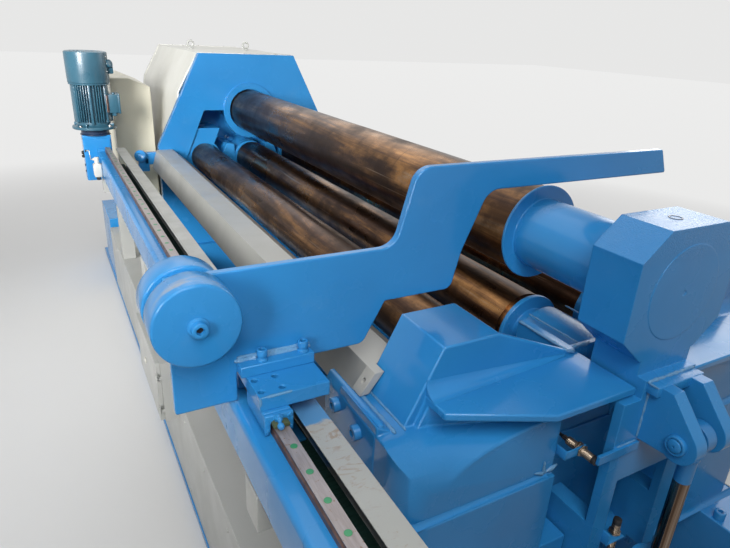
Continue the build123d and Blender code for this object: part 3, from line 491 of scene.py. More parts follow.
def addBlock(low, high, edge=0.0, turn=Matrix.Identity(4), steps=2):
    low, high = Vector(low), Vector(high)
    shell = bmesh.new()
    bmesh.ops.create_cube(shell, size=1, matrix=Matrix.Diagonal((*(high - low), 1)))
    if edge:
        roundEdges(shell, shell.edges[:], edge, steps)
    addShell(shell, turn @ Matrix.Translation((low + high) / 2))


def addRod(path, radius, segments=32, edge=0.0, tip=None, steps=2):
    start, end = ends(path)
    shell = bmesh.new()
    bmesh.ops.create_cone(shell, cap_ends=True, segments=segments, radius1=radius,
                          radius2=radius if tip is None else tip, depth=(end - start).length)
    if edge:
        rims = [side for side in shell.edges
                if max(len(face.verts) for face in side.link_faces) > 4]
        roundEdges(shell, rims, edge, steps)
    addShell(shell, Matrix.Translation((start + end) / 2) @ axisTurn(end - start))


def mm(*profile):
    return [(radius / 1000, height / 1000) for radius, height in profile]


def addTurned(centre, axis, profile, segments=48, closed=False):
    # profile is (radius, height) along the axis; closed makes a ring of it
    shell = bmesh.new()
    points = [shell.verts.new((radius, 0, height)) for radius, height in profile]
    after = points[1:] + points[:1] if closed else points[1:]
    sides = [shell.edges.new(pair) for pair in zip(points, after)]
    bmesh.ops.spin(shell, geom=points + sides, axis=(0, 0, 1), angle=math.tau, steps=segments,
                   use_merge=True)
    bmesh.ops.remove_doubles(shell, verts=shell.verts, dist=1e-6)
    addShell(shell, Matrix.Translation(centre) @ axisTurn(axis))


def addHexHead(base, axis, across, height, washer=0.0):
    base, axis = Vector(base), Vector(axis).normalized()
    if washer:
        top = base + axis * 0.15 * height
        addRod(zip(base, top), washer, 24)
        base = top
    addRod(zip(base, base + axis * height), across / math.sqrt(3), 6, 0.08 * across)


def addSocketHead(base, axis, radius, height, socket, depth, edge=0.001):
    shell = bmesh.new()
    rim = bmesh.ops.create_circle(shell, cap_ends=False, segments=24, radius=radius)["verts"]
    recess = bmesh.ops.create_circle(shell, cap_ends=False, segments=6, radius=socket)["verts"]
    rimEdges, recessEdges = ringEdges(shell, rim), ringEdges(shell, recess)
    bmesh.ops.bridge_loops(shell, edges=rimEdges + recessEdges)
    for sides, drop in ((rimEdges, height), (recessEdges, depth)):
        lower = vertsOf(bmesh.ops.extrude_edge_only(shell, edges=sides)["geom"])
        bmesh.ops.translate(shell, verts=lower, vec=(0, 0, -drop))
        bmesh.ops.contextual_create(shell, geom=ringEdges(shell, lower))
    roundEdges(shell, rimEdges, edge)
    top = Vector(base) + Vector(axis).normalized() * height
    addShell(shell, Matrix.Translation(top) @ axisTurn(axis))


def addPrism(outline, depth, edge=0.0):
    shell = bmesh.new()
    face = shell.faces.new([shell.verts.new(point) for point in outline])
    grown = bmesh.ops.extrude_face_region(shell, geom=[face])["geom"]
    bmesh.ops.translate(shell, verts=vertsOf(grown), vec=depth)
    if edge:
        roundEdges(shell, shell.edges[:], edge)
    addShell(shell)


def addBead(path, radius, lump=0.22, seed=0.0, pitch=0.005):
    # a weld bead: ripples along it, an uneven swell, and ends that taper off
    start, end = ends(path)
    length = (end - start).length
    shell = bmesh.new()
    bmesh.ops.create_cone(shell, cap_ends=True, segments=8, radius1=radius, radius2=radius,
                          depth=length)
    long = [side for side in shell.edges
            if abs(side.verts[0].co.z - side.verts[1].co.z) > 0.9 * length]
    cuts = max(3, min(120, int(length / pitch * 2)))
    bmesh.ops.subdivide_edges(shell, edges=long, cuts=cuts, use_grid_fill=True)
    for vert in shell.verts:
        run = vert.co.z + length / 2
        swell = 1 + lump * mathutils.noise.noise(Vector((run * 70 + seed, vert.co.x * 60, seed)))
        swell += 0.10 * math.cos(math.tau * run / pitch)
        swell *= min(1.0, 0.45 + 0.37 * min(run, length - run) / radius)
        vert.co.x *= swell
        vert.co.y *= swell
    addShell(shell, Matrix.Translation((start + end) / 2) @ axisTurn(end - start))


def addCove(path, radius, endScale):
    # the hollow fillet where a sheet folds into the one below it, thinning towards its end
    start, end = ends(path)
    up, out, sunk = Vector((0, 0, 1)), Vector((0, -1, 0)), 0.001
    shell = bmesh.new()
    first = shell.verts.new(up * radius)
    bmesh.ops.spin(shell, geom=[first], cent=(up + out) * radius, axis=out.cross(up),
                   angle=math.radians(90), steps=8)
    arc = sorted(shell.verts, key=lambda vert: vert.co.dot(out))
    corners = (out * radius - up * sunk, -(up + out) * sunk, up * radius - out * sunk)
    face = shell.faces.new(arc + [shell.verts.new(corner) for corner in corners])
    moved = vertsOf(bmesh.ops.extrude_face_region(shell, geom=[face])["geom"])
    bmesh.ops.scale(shell, vec=(endScale, endScale, endScale), verts=moved)
    bmesh.ops.translate(shell, vec=end - start, verts=moved)
    addShell(shell, Matrix.Translation(start))


def placePiece(name, data, material, body, replaced=None):
    data.materials.append(material)
    piece = linkObject(name, data)
    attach(piece, body)
    if replaced:
        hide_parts(replaced)


def finishPiece(name, material, body="root", replaced=None):
    data = bpy.data.meshes.new(name)
    pieceMesh.to_mesh(data)
    pieceMesh.clear()
    data.shade_smooth()
    data.set_sharp_from_angle(angle=math.radians(38))
    placePiece(name, data, material, body, replaced)


# Painted copies of the plate and sheet nodes, their edges rounded as thick enamel leaves them

rounding = {
    0.003: "near_frame far_frame bed_frame drop_end belt_gearbox cylinder_bracket",
    0.0045: "control_cabinet junction_box",
    0.002: "pusher_arm beam_tube top_roll_sleeve bottom_roll_collar left_near_block "
           "right_near_block left_far_block right_far_block bottom_near_bearing "
           "bottom_far_bearing drive_housing junction_box_lid cylinder_barrel",
    0.0014: "carriage_plate clamp_bar carriage_blocks left_guard right_guard left_side_cover "
            "right_side_cover beam_brackets belt_cover",
}

# The drop-end frame is bent sheet: its wall curves in to the humps above it
nearFrame = {
    "frontBend": 0.082,
    "cornerBend": 0.060,
    "bendSteps": 12,
    "shortestRounded": 0.0066,
    "wallX": 0.556,
    "apronY": -1.415,
    "footY": -1.425,
    "footTop": 0.715,
    "foldRadius": 0.030,
    "stepRadius": 0.010,
    "beadRadius": 0.0042,
    "wallBolts": [(-1.170, 0.824), (-1.257, 0.819)],
}


def cutAway(shell):
    # takes the shapes in hand out of the shell, with Blender's own boolean
    def asObject(name, mesh):
        data = bpy.data.meshes.new(name)
        mesh.to_mesh(data)
        mesh.clear()
        return linkObject(name, data)

    body, cutter = asObject("cut_body", shell), asObject("cut_tool", pieceMesh)
    cut = body.modifiers.new("cut", "BOOLEAN")
    cut.operation, cut.solver, cut.object, cut.use_self = "DIFFERENCE", "EXACT", cutter, True
    graph = bpy.context.evaluated_depsgraph_get()
    result = bpy.data.meshes.new_from_object(body.evaluated_get(graph))
    shell.from_mesh(result)
    used = [body.data, cutter.data, result]
    for obj in (body, cutter):
        bpy.data.objects.remove(obj)
    for data in used:
        bpy.data.meshes.remove(data)


def quarterCut(centre, radius, outer, up):
    # outline of what lies outside a quarter round: its arc, then the outer corner
    near, arc = Vector((0, -1, 0)), []
    for step in range(nearFrame["bendSteps"] + 1):
        angle = math.radians(90 * step / nearFrame["bendSteps"])
        arc.append(centre + radius * (math.sin(angle) * near + math.cos(angle) * up))
    corner = centre + (radius + outer) * (near + up)
    return [arc[0] + outer * up, *arc, arc[-1] + outer * near, corner]


def bendCorners(shell):
    front, corner, footTop = nearFrame["frontBend"], nearFrame["cornerBend"], nearFrame["footTop"]
    levels = ((footTop, 0.900, nearFrame["apronY"]), (0.300, footTop, nearFrame["footY"]))
    for side in (-1, 1):
        for low, high, face in levels:
            centre = Vector((side * (nearFrame["wallX"] - corner), face + corner, low))
            addPrism(quarterCut(centre, corner, 0.05, Vector((side, 0, 0))), (0, 0, high - low))
        centre = Vector((side * 0.620, nearFrame["apronY"] + front, 0.852 - front))
        arc = quarterCut(centre, front, 0.08, Vector((0, 0, 1)))
        addPrism(arc, (-side * 0.161, 0, 0))
        arc = [Vector((side * 0.459, point.y, min(point.z, 0.895))) for point in arc]
        addPrism(arc, (-side * 0.262, -0.006 - front, 0))
    cutAway(shell)
    bmesh.ops.remove_doubles(shell, verts=shell.verts, dist=1e-5)
    print("bent corners cut:", len(shell.faces))


def roundNode(name, radius):
    shell = bmesh.new()
    shell.from_mesh(nodes[name].data)
    bmesh.ops.remove_doubles(shell, verts=shell.verts, dist=2e-6)
    bent = name == "near_frame"
    if bent:
        bendCorners(shell)
    bmesh.ops.dissolve_limit(shell, angle_limit=math.radians(0.6), verts=shell.verts,
                             edges=shell.edges)
    edges = [edge for edge in shell.edges if edge.calc_face_angle(0) > math.radians(28)]
    if bent:    # an edge beside a very short one stays sharp
        def shortestBeside(edge):
            return min(near.calc_length() for vert in edge.verts for near in vert.link_edges)

        edges = [edge for edge in edges if shortestBeside(edge) > nearFrame["shortestRounded"]]
    strips = set(roundEdges(shell, edges, radius, clamp=not bent))
    for face in shell.faces:
        face.smooth = True
    for edge in shell.edges:    # flat sheets stay flat up to their rounded edge
        border = sum(face in strips for face in edge.link_faces) == 1
        edge.smooth = not border and edge.calc_face_angle(0) < math.radians(50)
    data = bpy.data.meshes.new(name + "_rounded")
    shell.to_mesh(data)
    shell.free()
    placePiece(data.name, data, finishOf.get(name, blue), body_of(nodes[name])[0], name)


for radius, names in rounding.items():
    for name in names.split():
        roundNode(name, radius)
print("edges rounded")


# Pusher's track: rail caps, belt teeth and the beam's end cap

track = {
    "capPitch": 0.060,
    "capRadius": 0.0056,
    "firstCap": -1.666,
    "toothPitch": 0.010,
    "toothSize": (0.028, 0.0052, 0.0022),
    "beltY": (-1.640, 1.170),
}


def dressTrack():
    low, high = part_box("linear_rail")
    x, y = (low[0] + high[0]) / 2, track["firstCap"]
    while y < high[1]:
        addRod((x, y, (high[2] - 0.002, high[2] + 0.0005)), track["capRadius"], 20)
        y += track["capPitch"]
    finishPiece("rail_caps", capGreen)

    low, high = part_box("drive_belt")
    (start, end), pitch = track["beltY"], track["toothPitch"]
    shape = Matrix.Diagonal((*track["toothSize"], 1))
    for index in range(int((end - start) / pitch)):
        place = Matrix.Translation(((low[0] + high[0]) / 2, start + index * pitch, high[2]))
        bmesh.ops.create_cube(pieceMesh, size=1, matrix=place @ shape)
    finishPiece("belt_teeth", beltRubber)

    low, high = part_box("beam_tube")    # rounded, beside the gearbox
    addRod(((low[0] + 0.004, high[0] - 0.004), high[1] - 0.010, high[2]), 0.010, 24, 0.003)
    addBead(((low[0], high[0]), high[1] - 0.022, high[2] + 0.001), 0.004)
    finishPiece("beam_end_cap", lumpyBlue)


dressTrack()


# Carriage and clamp on the pusher

carriage = {
    "endPlate": 0.008,
    "screwX": (-0.723, -0.650),
    "screwHead": 0.0092,
    "screwHeight": 0.021,
    "beadRadius": 0.0052,
    "lipZ": 0.9075,
    "slotZ": 0.9285,
}


def addPlate(outline, y, depth, edge):
    # outline is (x, z)
    addPrism([(x, y, z) for x, z in outline], (0, depth, 0), edge)


def dressCarriage():
    low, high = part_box("carriage_blocks")
    left, right, top = low[0], high[0], high[2] - 0.0015
    lip, slot, thick = carriage["lipZ"], carriage["slotZ"], carriage["endPlate"]
    outline = [
        (left, lip), (left + 0.009, lip), (left + 0.010, slot), (right - 0.010, slot),
        (right - 0.009, lip), (right, lip), (right, top), (left, top),
    ]
    middle, front = (left + right) / 2, low[1] - thick
    for y in (front, high[1] - 0.001):
        addPlate(outline, y, thick + 0.001, 0.0012)
    for x, z in ((left + 0.005, 0.915), (right - 0.005, 0.915), (right - 0.006, 0.938)):
        addSocketHead((x, front, z), (0, -1, 0), 0.0032, 0.0022, 0.0016, 0.001, 0.0005)
    nipple = Vector((middle - 0.002, front, 0.9375))    # for grease
    addHexHead(nipple, (0, -1, 0), 0.0135, 0.005)
    addTurned(nipple - Vector((0, 0.004, 0)), (-0.15, -1, -0.28), mm(
        (0, 0), (4.8, 0), (4.8, 4), (3, 6), (2.8, 10), (5.2, 12), (5.6, 16), (4, 19.5),
        (0, 20.5)), 20)
    finishPiece("carriage_end_plates", lumpyBlue, "pusher")

    outline = [(-0.0135, 0.9268), (0.0135, 0.9268), (0.0135, 0.9325), (0.006, 0.9345),
               (-0.008, 0.9345), (-0.0135, 0.9325)]
    for y, depth in ((front - 0.014, 0.016), (high[1] + thick - 0.002, 0.012)):
        addPlate([(middle + x, z) for x, z in outline], y, depth, 0.0014)
    finishPiece("carriage_seals", oliveSeal, "pusher")

    low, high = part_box("clamp_bar")
    head, tall = carriage["screwHead"], carriage["screwHeight"] - 0.0095
    for x in carriage["screwX"]:
        base = Vector((x, (low[1] + high[1]) / 2, high[2]))
        addTurned(base, (0, 0, 1), [
            (0, -0.001), (head + 0.0005, -0.001), (head + 0.0005, 0.0032), (head - 0.0012, 0.0042),
            (head - 0.0014, 0.0105), (0, 0.0105)], 28)
        addSocketHead(base + Vector((0, 0, 0.0095)), (0, 0, 1), head, tall, 0.0054, 0.007, 0.0014)
    finishPiece("clamp_screws", lumpyBlue, "pusher")

    (left, _, _), (right, y, z) = low, high
    run = (left - 0.004, right + 0.001)
    addBead((run, y - 0.0015, z + 0.001), carriage["beadRadius"], 0.5, 3, 0.0065)
    addBead(((left, right), y - 0.0005, z + 0.0065), 0.0028, 0.6, 9, 0.008)
    (left, y, _), (_, _, z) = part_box("carriage_plate")
    addBead(((left + 0.001, left + 0.055), y + 0.0015, z - 0.001), 0.0022, 0.5, 5, 0.004)
    addBead((left + 0.0012, y + 0.001, (z - 0.016, z)), 0.0020, 0.5, 6, 0.004)
    finishPiece("arm_weld_bead", weldBlue, "pusher")


dressCarriage()


# Counterweight: two thick discs on the arm, held by a socket bolt

counterweight = {"rim": 0.0045, "boltRadius": 0.0125, "boltHead": 0.013, "socket": 0.0068}


def dressCounterweight():
    low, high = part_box("counterweight")
    armBack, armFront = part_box("pusher_arm")[1][1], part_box("pusher_arm")[0][1]
    radius, rim = (high[2] - low[2]) / 2, counterweight["rim"]
    x, z = (low[0] + high[0]) / 2, (low[2] + high[2]) / 2
    front = low[1] + counterweight["boltHead"] + 0.001
    for near, far in ((front, armFront), (armBack, high[1])):
        thick = far - near
        addTurned((x, far, z), (0, -1, 0), [
            (0, 0), (radius - rim, 0), (radius - 0.3 * rim, 0.3 * rim), (radius, rim),
            (radius, thick - rim), (radius - 0.08 * rim, thick - 0.62 * rim),
            (radius - 0.3 * rim, thick - 0.3 * rim),
            (radius - 0.62 * rim, thick - 0.08 * rim), (radius - rim, thick), (0, thick)], 96)
    finishPiece("counterweight_discs", rimHighlightBlue, "pusher", "counterweight")

    addTurned((x, front + 0.001, z), (0, -1, 0), mm(
        (0, 0), (16.5, 0), (16.5, 2.5), (15.5, 3.2), (0, 3.2)), 32)
    addSocketHead((x, front - 0.001, z), (0, -1, 0), counterweight["boltRadius"],
                  counterweight["boltHead"], counterweight["socket"], 0.007, 0.0016)
    finishPiece("counterweight_bolt", blue, "pusher")
    # a black disc at the bottom of the bolt's hex socket: painted shade
    addRod((x, (front - 0.0072, front - 0.0066), z), 0.0058, 6)
    finishPiece("counterweight_socket_shade", blackPlastic, "pusher")


# Frame of the drop end: folds, weld beads, bolts and side plates

def dressNearFrame():
    wallX, apronY, footTop = nearFrame["wallX"], nearFrame["apronY"], nearFrame["footTop"]
    for side in (-1, 1):
        addCove(((side * 0.4585, side * 0.115), -1.320, 0.910), nearFrame["foldRadius"], 0.16)
        addCove(((side * wallX, side * 0.215), apronY, footTop), nearFrame["stepRadius"], 0.55)
        addCove(((side * wallX, side * 0.200), nearFrame["footY"], 0.372), 0.012, 0.8)
    finishPiece("frame_folds", blue)

    bead = nearFrame["beadRadius"]
    for side in (-1, 1):
        x = side * 0.111
        addBead((side * 0.522, (-1.328, -1.180), 0.853), bead, 0.45, side)
        addBead((side * 0.500, (-1.328, -1.180), 0.853), 0.6 * bead, 0.45, 2 + side)
        addBead((x, (-1.322, -1.178), 0.920), 0.8 * bead, 0.5, 4 + side)
        addBead(((x, side * 0.088), -1.321, (0.919, 0.914)), bead, 0.5, 6 + side)
        addBead((side * 0.200, -1.417, (0.372, 0.700)), 0.5 * bead, 0.6, 8 + side)
        # splashed ends where three runs meet
        for length, angle in ((0.035, 18), (0.030, 95), (0.026, 160)):
            turn = math.radians(angle)
            across = (side * 0.226, side * (0.226 - length * math.cos(turn)))
            rise = (0.722, 0.722 + length * math.sin(turn))
            addBead((across, -1.4165, rise), 0.8 * bead, 0.8, angle + side)
        across = (side * 0.056, side * 0.082)
        addBead((across, -1.3205, (0.884, 0.905)), 1.3 * bead, 0.9, 13 + side)
    finishPiece("frame_weld_beads", weldBlue)

    for side in (-1, 1):
        addBead(((side * 0.086, side * 0.034), -1.312, 0.9175), bead, 0.6, 20 + side)
        addBead((side * 0.058, (-1.303, -1.155), 0.9165), 0.5 * bead, 0.6, 22 + side)
    finishPiece("bearing_weld_beads", weldBlue, "bottom_bearings")

    for side in (-1, 1):
        for y, z in nearFrame["wallBolts"]:
            place = (side * (wallX + 0.0005), y, z)
            addSocketHead(place, (side, 0, 0), 0.0150, 0.015, 0.0080, 0.009, 0.0022)
        addSocketHead((side * 0.420, -1.473, 0.372), (0, 0, 1), 0.014, 0.022, 0.0075, 0.009, 0.002)
    finishPiece("frame_bolts", lumpyBlue)

    for side in (-1, 1):    # thick, and bevelled along their top; the wall bolts go through them
        outline = [(0.538, 0.400), (0.5578, 0.400), (0.5578, 0.850), (0.548, 0.869), (0.538, 0.869)]
        addPlate([(side * x, z) for x, z in outline], -1.112, -0.205, 0.003)
    finishPiece("frame_side_plates", blue)


# Drop end: lug welds, pin head, lifting plug and the two position sensors

dropEnd = {
    "bead": 0.0036,
    "lugX": (-0.0585, -0.0275, 0.0275, 0.0585),
    "sensorRadius": 0.009,
    "threadPitch": 0.0022,
    "threadDepth": 0.0007,
    "nutAcross": 0.024,
    "sideSensor": (-0.157, 0.770),
    "lowerSensor": (-0.040, -1.478),
}


def addSensor(path, nutAt):
    # threaded barrel with two nuts; the cap and the tail are separate, darker pieces
    tail, tip = ends(path)
    axis, length = (tip - tail).normalized(), (tip - tail).length
    radius, pitch = dropEnd["sensorRadius"], dropEnd["threadPitch"]
    profile, run = [(0, 0), (radius, 0)], pitch
    while run < length:
        profile += [(radius - dropEnd["threadDepth"], run), (radius, run + 0.5 * pitch)]
        run += pitch
    addTurned(tail, axis, profile + [(radius, length), (0, length)], 24)
    for shift in (-0.0065, 0.0025):
        addHexHead(tail + axis * (nutAt + shift), axis, dropEnd["nutAcross"], 0.004)
    addRod(zip(tail + axis * (nutAt - 0.0085), tail + axis * (nutAt - 0.0072)), 0.0135, 24)


def dressDropEnd():
    addBlock((-0.068, -1.502, 0.9045), (0.068, -1.4765, 0.9262), 0.0025)
    finishPiece("lug_web_plate", lumpyBlue, "drop_end_body")

    bead, y = dropEnd["bead"], -1.4785
    addBead(((-0.069, 0.069), y, 0.9265), bead, 0.7, 31)
    addBead((-0.0675, (-1.501, -1.480), 0.9255), 0.7 * bead, 0.7, 33)
    for x in dropEnd["lugX"]:
        addBead((x, y, (0.800, 0.925)), 0.7 * bead, 0.6, 35 + x)
    addBead(((-0.0585, -0.112), y, 0.7915), 0.6 * bead, 0.8, 37)
    finishPiece("lug_weld_beads", weldBlue, "drop_end_body")

    low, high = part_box("lug_pin")
    for side, x in ((-1, low[0]), (1, high[0])):
        place = (x - side * 0.002, (low[1] + high[1]) / 2, (low[2] + high[2]) / 2)
        addTurned(place, (side, 0, 0), mm(
            (0, 0), (19.6, 0), (19.6, 3), (18.2, 4.4), (15, 4.4), (14.6, 3), (13.6, 2.8),
            (13, 5.2), (11.4, 6.2), (1.8, 6.2), (1.6, 3), (0, 3)))
    finishPiece("pin_caps", blue, "drop_end_body")

    addTurned((0.002, -1.404, 1.2165), (0, 0, 1), mm(
        (0, 0), (13.5, 0), (13.5, 0.6), (12.5, 1.4), (10.5, 1.2), (10, 0.4), (0, 0.4)), 32)
    finishPiece("lifting_hole_plug", darkBlueAndPaintedShade, "drop_end_body")

    x, z = dropEnd["sideSensor"]
    addSensor((x, (-1.404, -1.466), z), 0.032)
    addRod((x, (-1.404, -1.392), z), 0.0055, 20, 0.001)
    finishPiece("side_sensor", nickel)
    addRod((x, (-1.475, -1.4655), z), 0.0085, 24, 0.001)
    addRod((x, (-1.393, -1.378), z), 0.0040, 16, tip=0.0032)
    finishPiece("side_sensor_cap", blackPlastic)
    addBlock((-0.1980, -1.4383, 0.7604), (-0.146, -1.4355, 0.7806), 0.001)
    addBlock((-0.2005, -1.4385, 0.760), (-0.1965, -1.412, 0.781), 0.001)
    addHexHead((-0.1965, -1.422, 0.7705), (1, 0, 0), 0.009, 0.004)
    finishPiece("side_sensor_bracket", blue)

    x, y = dropEnd["lowerSensor"]
    addSensor((x, y, (0.500, 0.566)), 0.040)
    addRod((x, y, (0.490, 0.501)), 0.0060, 20, 0.001)
    addHexHead((x, y, 0.502), (0, 0, 1), 0.017, 0.006)
    finishPiece("lower_sensor", nickel, "drop_end_body")
    addRod((x, y, (0.5655, 0.579)), 0.0088, 24, 0.0012)
    finishPiece("lower_sensor_cap", blackPlastic, "drop_end_body")
    addBlock((-0.0790, -1.4935, 0.5347), (-0.026, -1.4625, 0.5385), 0.0012)
    addBlock((-0.0815, -1.494, 0.5345), (-0.0775, -1.462, 0.566), 0.0012)
    addHexHead((-0.0779, -1.4783, 0.5523), (1, 0, 0), 0.010, 0.005)
    finishPiece("lower_sensor_bracket", blue, "drop_end_body")


# Pusher's motor, with its cowl, fins, flange and terminal box, on its gearbox

motor = {
    "finAngles": [-48, -40, -32, -24, -16, 6, 14, 22, 30],    # 0 looks to -Y, positive towards +X
    "ribAngle": -7,
    "padAngles": [-70, -98, 58, 112, -132, 150],
    "boltAngles": [-47, 47, 133, 227],
    "bodyRadius": 0.086,
    "cowlBottom": 0.207,
    "cowlRadius": 0.0945,
}


def dressMotor():
    low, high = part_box("pusher_motor")
    axisX, axisY = low[0] + 0.100, (low[1] + high[1]) / 2
    foot, top, wide = low[2], high[2], motor["bodyRadius"]
    seam, rim, height = motor["cowlBottom"], motor["cowlRadius"], high[2] - low[2]

    def radial(angle):
        return Matrix.Translation((axisX, axisY, 0)) @ Matrix.Rotation(math.radians(angle), 4, "Z")

    addTurned((axisX, axisY, foot), (0, 0, 1), [*mm(
        (0, 0), (98, 0), (100, 2), (100, 10), (98, 12.5), (86, 14.5), (74, 22), (74, 36), (72, 50)),
        (0.072, seam + 0.004), (0, seam + 0.004)], 72)
    fins, rib = motor["finAngles"], motor["ribAngle"]
    webs = [angle + 20 for angle in motor["boltAngles"]]    # over the flange, beside its bolts
    for angles, half, outer, inner, bottom, upper, edge in (
        (fins + [angle + 180 for angle in fins], 0.0018, wide, 0.060, 0.036, seam + 0.002, 0.0007),
        ([rib, rib + 180], 0.0062, wide + 0.001, 0.060, 0.026, seam + 0.002, 0.003),
        (motor["padAngles"], 0.0190, wide - 0.002, 0.056, 0.030, seam + 0.002, 0.005),
        (webs, 0.004, 0.094, 0.060, 0.010, 0.028, 0.002),
    ):
        low, upper = (-half, -outer, foot + bottom), (half, -inner, foot + upper)
        for angle in angles:
            addBlock(low, upper, edge, radial(angle))
    finishPiece("motor_body", motorTeal, replaced="pusher_motor")

    groove, rings = height - 0.003, []    # raised rings on the cowl's top, each with its groove
    for radius in (0.070, 0.054, 0.038):
        rings += [(radius, height), (radius - 0.001, groove), (radius - 0.007, groove),
                  (radius - 0.008, height)]
    addTurned((axisX, axisY, foot), (0, 0, 1), [
        (0, seam), (0.0895, seam), (0.0915, seam + 0.0005), (0.0925, seam + 0.003),
        (0.0915, seam + 0.0055), (0.0905, seam + 0.007), (rim - 0.001, seam + 0.010),
        (rim, seam + 0.045), (rim, height - 0.009), (rim - 0.0012, height - 0.0035),
        (rim - 0.006, height - 0.0012), (0.080, height), *rings, (0.016, height), (0, height)], 96)
    finishPiece("motor_cowl", motorTeal)

    right = high[0] - 0.008    # the terminal box and its lid
    addBlock((-0.705, 1.128, 1.080), (right, 1.218, 1.168), 0.004)
    addBlock((right - 0.001, 1.125, 1.077), (high[0], 1.221, 1.171), 0.003)
    for y in (1.140, 1.206):
        for z in (1.092, 1.156):
            addSocketHead((high[0] - 0.001, y, z), (1, 0, 0), 0.0035, 0.002, 0.0018, 0.001, 0.0006)
    addRod((-0.664, 1.150, (1.167, 1.176)), 0.007, 20, 0.0015)
    addRod((-0.668, 1.145, (1.081, 1.066)), 0.012, 6, 0.001)
    addBlock((-0.690, 1.146, 1.262), (-0.652, 1.200, 1.318), 0.006)    # capacitor cover on the cowl
    addRod(((-0.676, -0.664), (1.150, 1.138), (1.306, 1.312)), 0.019, 28, 0.004)
    addBlock((-0.706, 1.150, 1.040), (-0.676, 1.196, 1.085), 0.006)
    finishPiece("motor_boxes", motorTeal)

    addBlock((-0.016, -wide - 0.0002, 1.085), (0.016, -wide + 0.004, 1.165), 0.0008, radial(58))
    finishPiece("motor_blank_plate", platePlain)

    for angle in motor["boltAngles"]:
        spot = radial(angle) @ Vector((0, -0.0890, foot + 0.0130))
        addHexHead(spot, (0, 0, 1), 0.013, 0.0065, 0.0095)
    for angle, drop in ((62, 0.022), (64, 0.055), (60, 0.088), (-118, 0.055), (180, 0.055)):
        spot = radial(angle) @ Vector((0, -0.0940, top - drop))
        out = spot - Vector((axisX, axisY, top - drop))
        addSocketHead(spot, out, 0.0042, 0.0022, 0.002, 0.001, 0.0006)
    finishPiece("motor_bolts", plainMetal)

    # a dark ring round the motor's neck: painted shade under the flange
    addTurned((axisX, axisY, 0.976), (0, 0, 1), mm(
        (0, 0), (69, 0), (69, 4), (64, 8), (64, 24), (67, 28), (67, 30.5), (0, 30.5)), 64)
    finishPiece("motor_neck", darkBlueAndPaintedShade)

    low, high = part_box("belt_gearbox")
    left = low[0] + 0.001
    addBlock((left, low[1] + 0.001, 0.955), (high[0] - 0.001, high[1] - 0.001, 0.977), 0.0025)
    finishPiece("gearbox_top_plate", blue)
    for y, z, radius in ((1.146, 0.892, 0.010), (1.158, 0.872, 0.008)):
        addTurned((left, y, z), (-1, 0, 0), [
            (0, 0), (radius, 0), (radius, 0.006), (0.75 * radius, 0.008), (0.7 * radius, 0.012),
            (0, 0.012)], 24)
    for z in (0.832, 0.802):
        addRod(((left, left - 0.005), 1.140, z), 0.005, 16, 0.001)
    finishPiece("gearbox_plugs", blackPlastic)


# Limit switch on the beam, with its bent lever

limitSwitch = {"headRadius": 0.011, "leverRadius": 0.0022, "pivotZ": 0.896}


def dressLimitSwitch():
    low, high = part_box("limit_switch")
    middle, y, z = (low[0] + high[0]) / 2, (low[1] + high[1]) / 2, limitSwitch["pivotZ"]
    addBlock(low, (high[0], high[1], 0.876), 0.004, steps=3)
    addBlock((low[0] - 0.0015, low[1] + 0.002, low[2] + 0.006),
             (low[0] + 0.004, high[1] - 0.002, 0.870), 0.0015)
    addRod((middle, y, (0.874, 0.906)), limitSwitch["headRadius"], 28, 0.004, steps=3)
    addRod(((middle, middle - 0.017), y, z), 0.0065, 24, 0.001)
    finishPiece("limit_switch_body", switchGrey, replaced="limit_switch")

    thin, x, tip = limitSwitch["leverRadius"], middle - 0.028, z + 0.040
    for path, radius in (
        (((middle - 0.014, middle - 0.024), y, z), thin),
        ((middle - 0.024, y, (z - thin, z + thin)), 1.15 * thin),
        (((middle - 0.024, x), (y, y + 0.006), (z, tip)), thin),
        ((x, y + 0.006, (tip - thin, tip + thin)), 1.15 * thin),
        (((x, x - 0.012), y + 0.006, tip), thin),
    ):
        addRod(path, radius, 16, 0.0008)
    finishPiece("limit_switch_lever", plainMetal)
    addRod(((x - 0.010, x - 0.016), y + 0.006, tip), 0.0055, 24, 0.001)
    addRod((middle, y, (low[2] + 0.001, low[2] - 0.016)), 0.0095, 6, 0.001)
    finishPiece("limit_switch_gland", blackPlastic)


# Drive housing: sheet-metal strips round both its ends, their screws, and the lifting eyes

housing = {
    "outline": [(-0.430, 0.700), (-0.360, 1.181), (-0.253, 1.371), (0.253, 1.371),
                (0.360, 1.181), (0.430, 0.700)],
    "ends": (1.1275, 2.1345),
    "stripWidth": 0.028,
    "screwPitch": 0.150,
    "eyeWire": 0.0055,
    "eyeRadius": 0.0165,
}


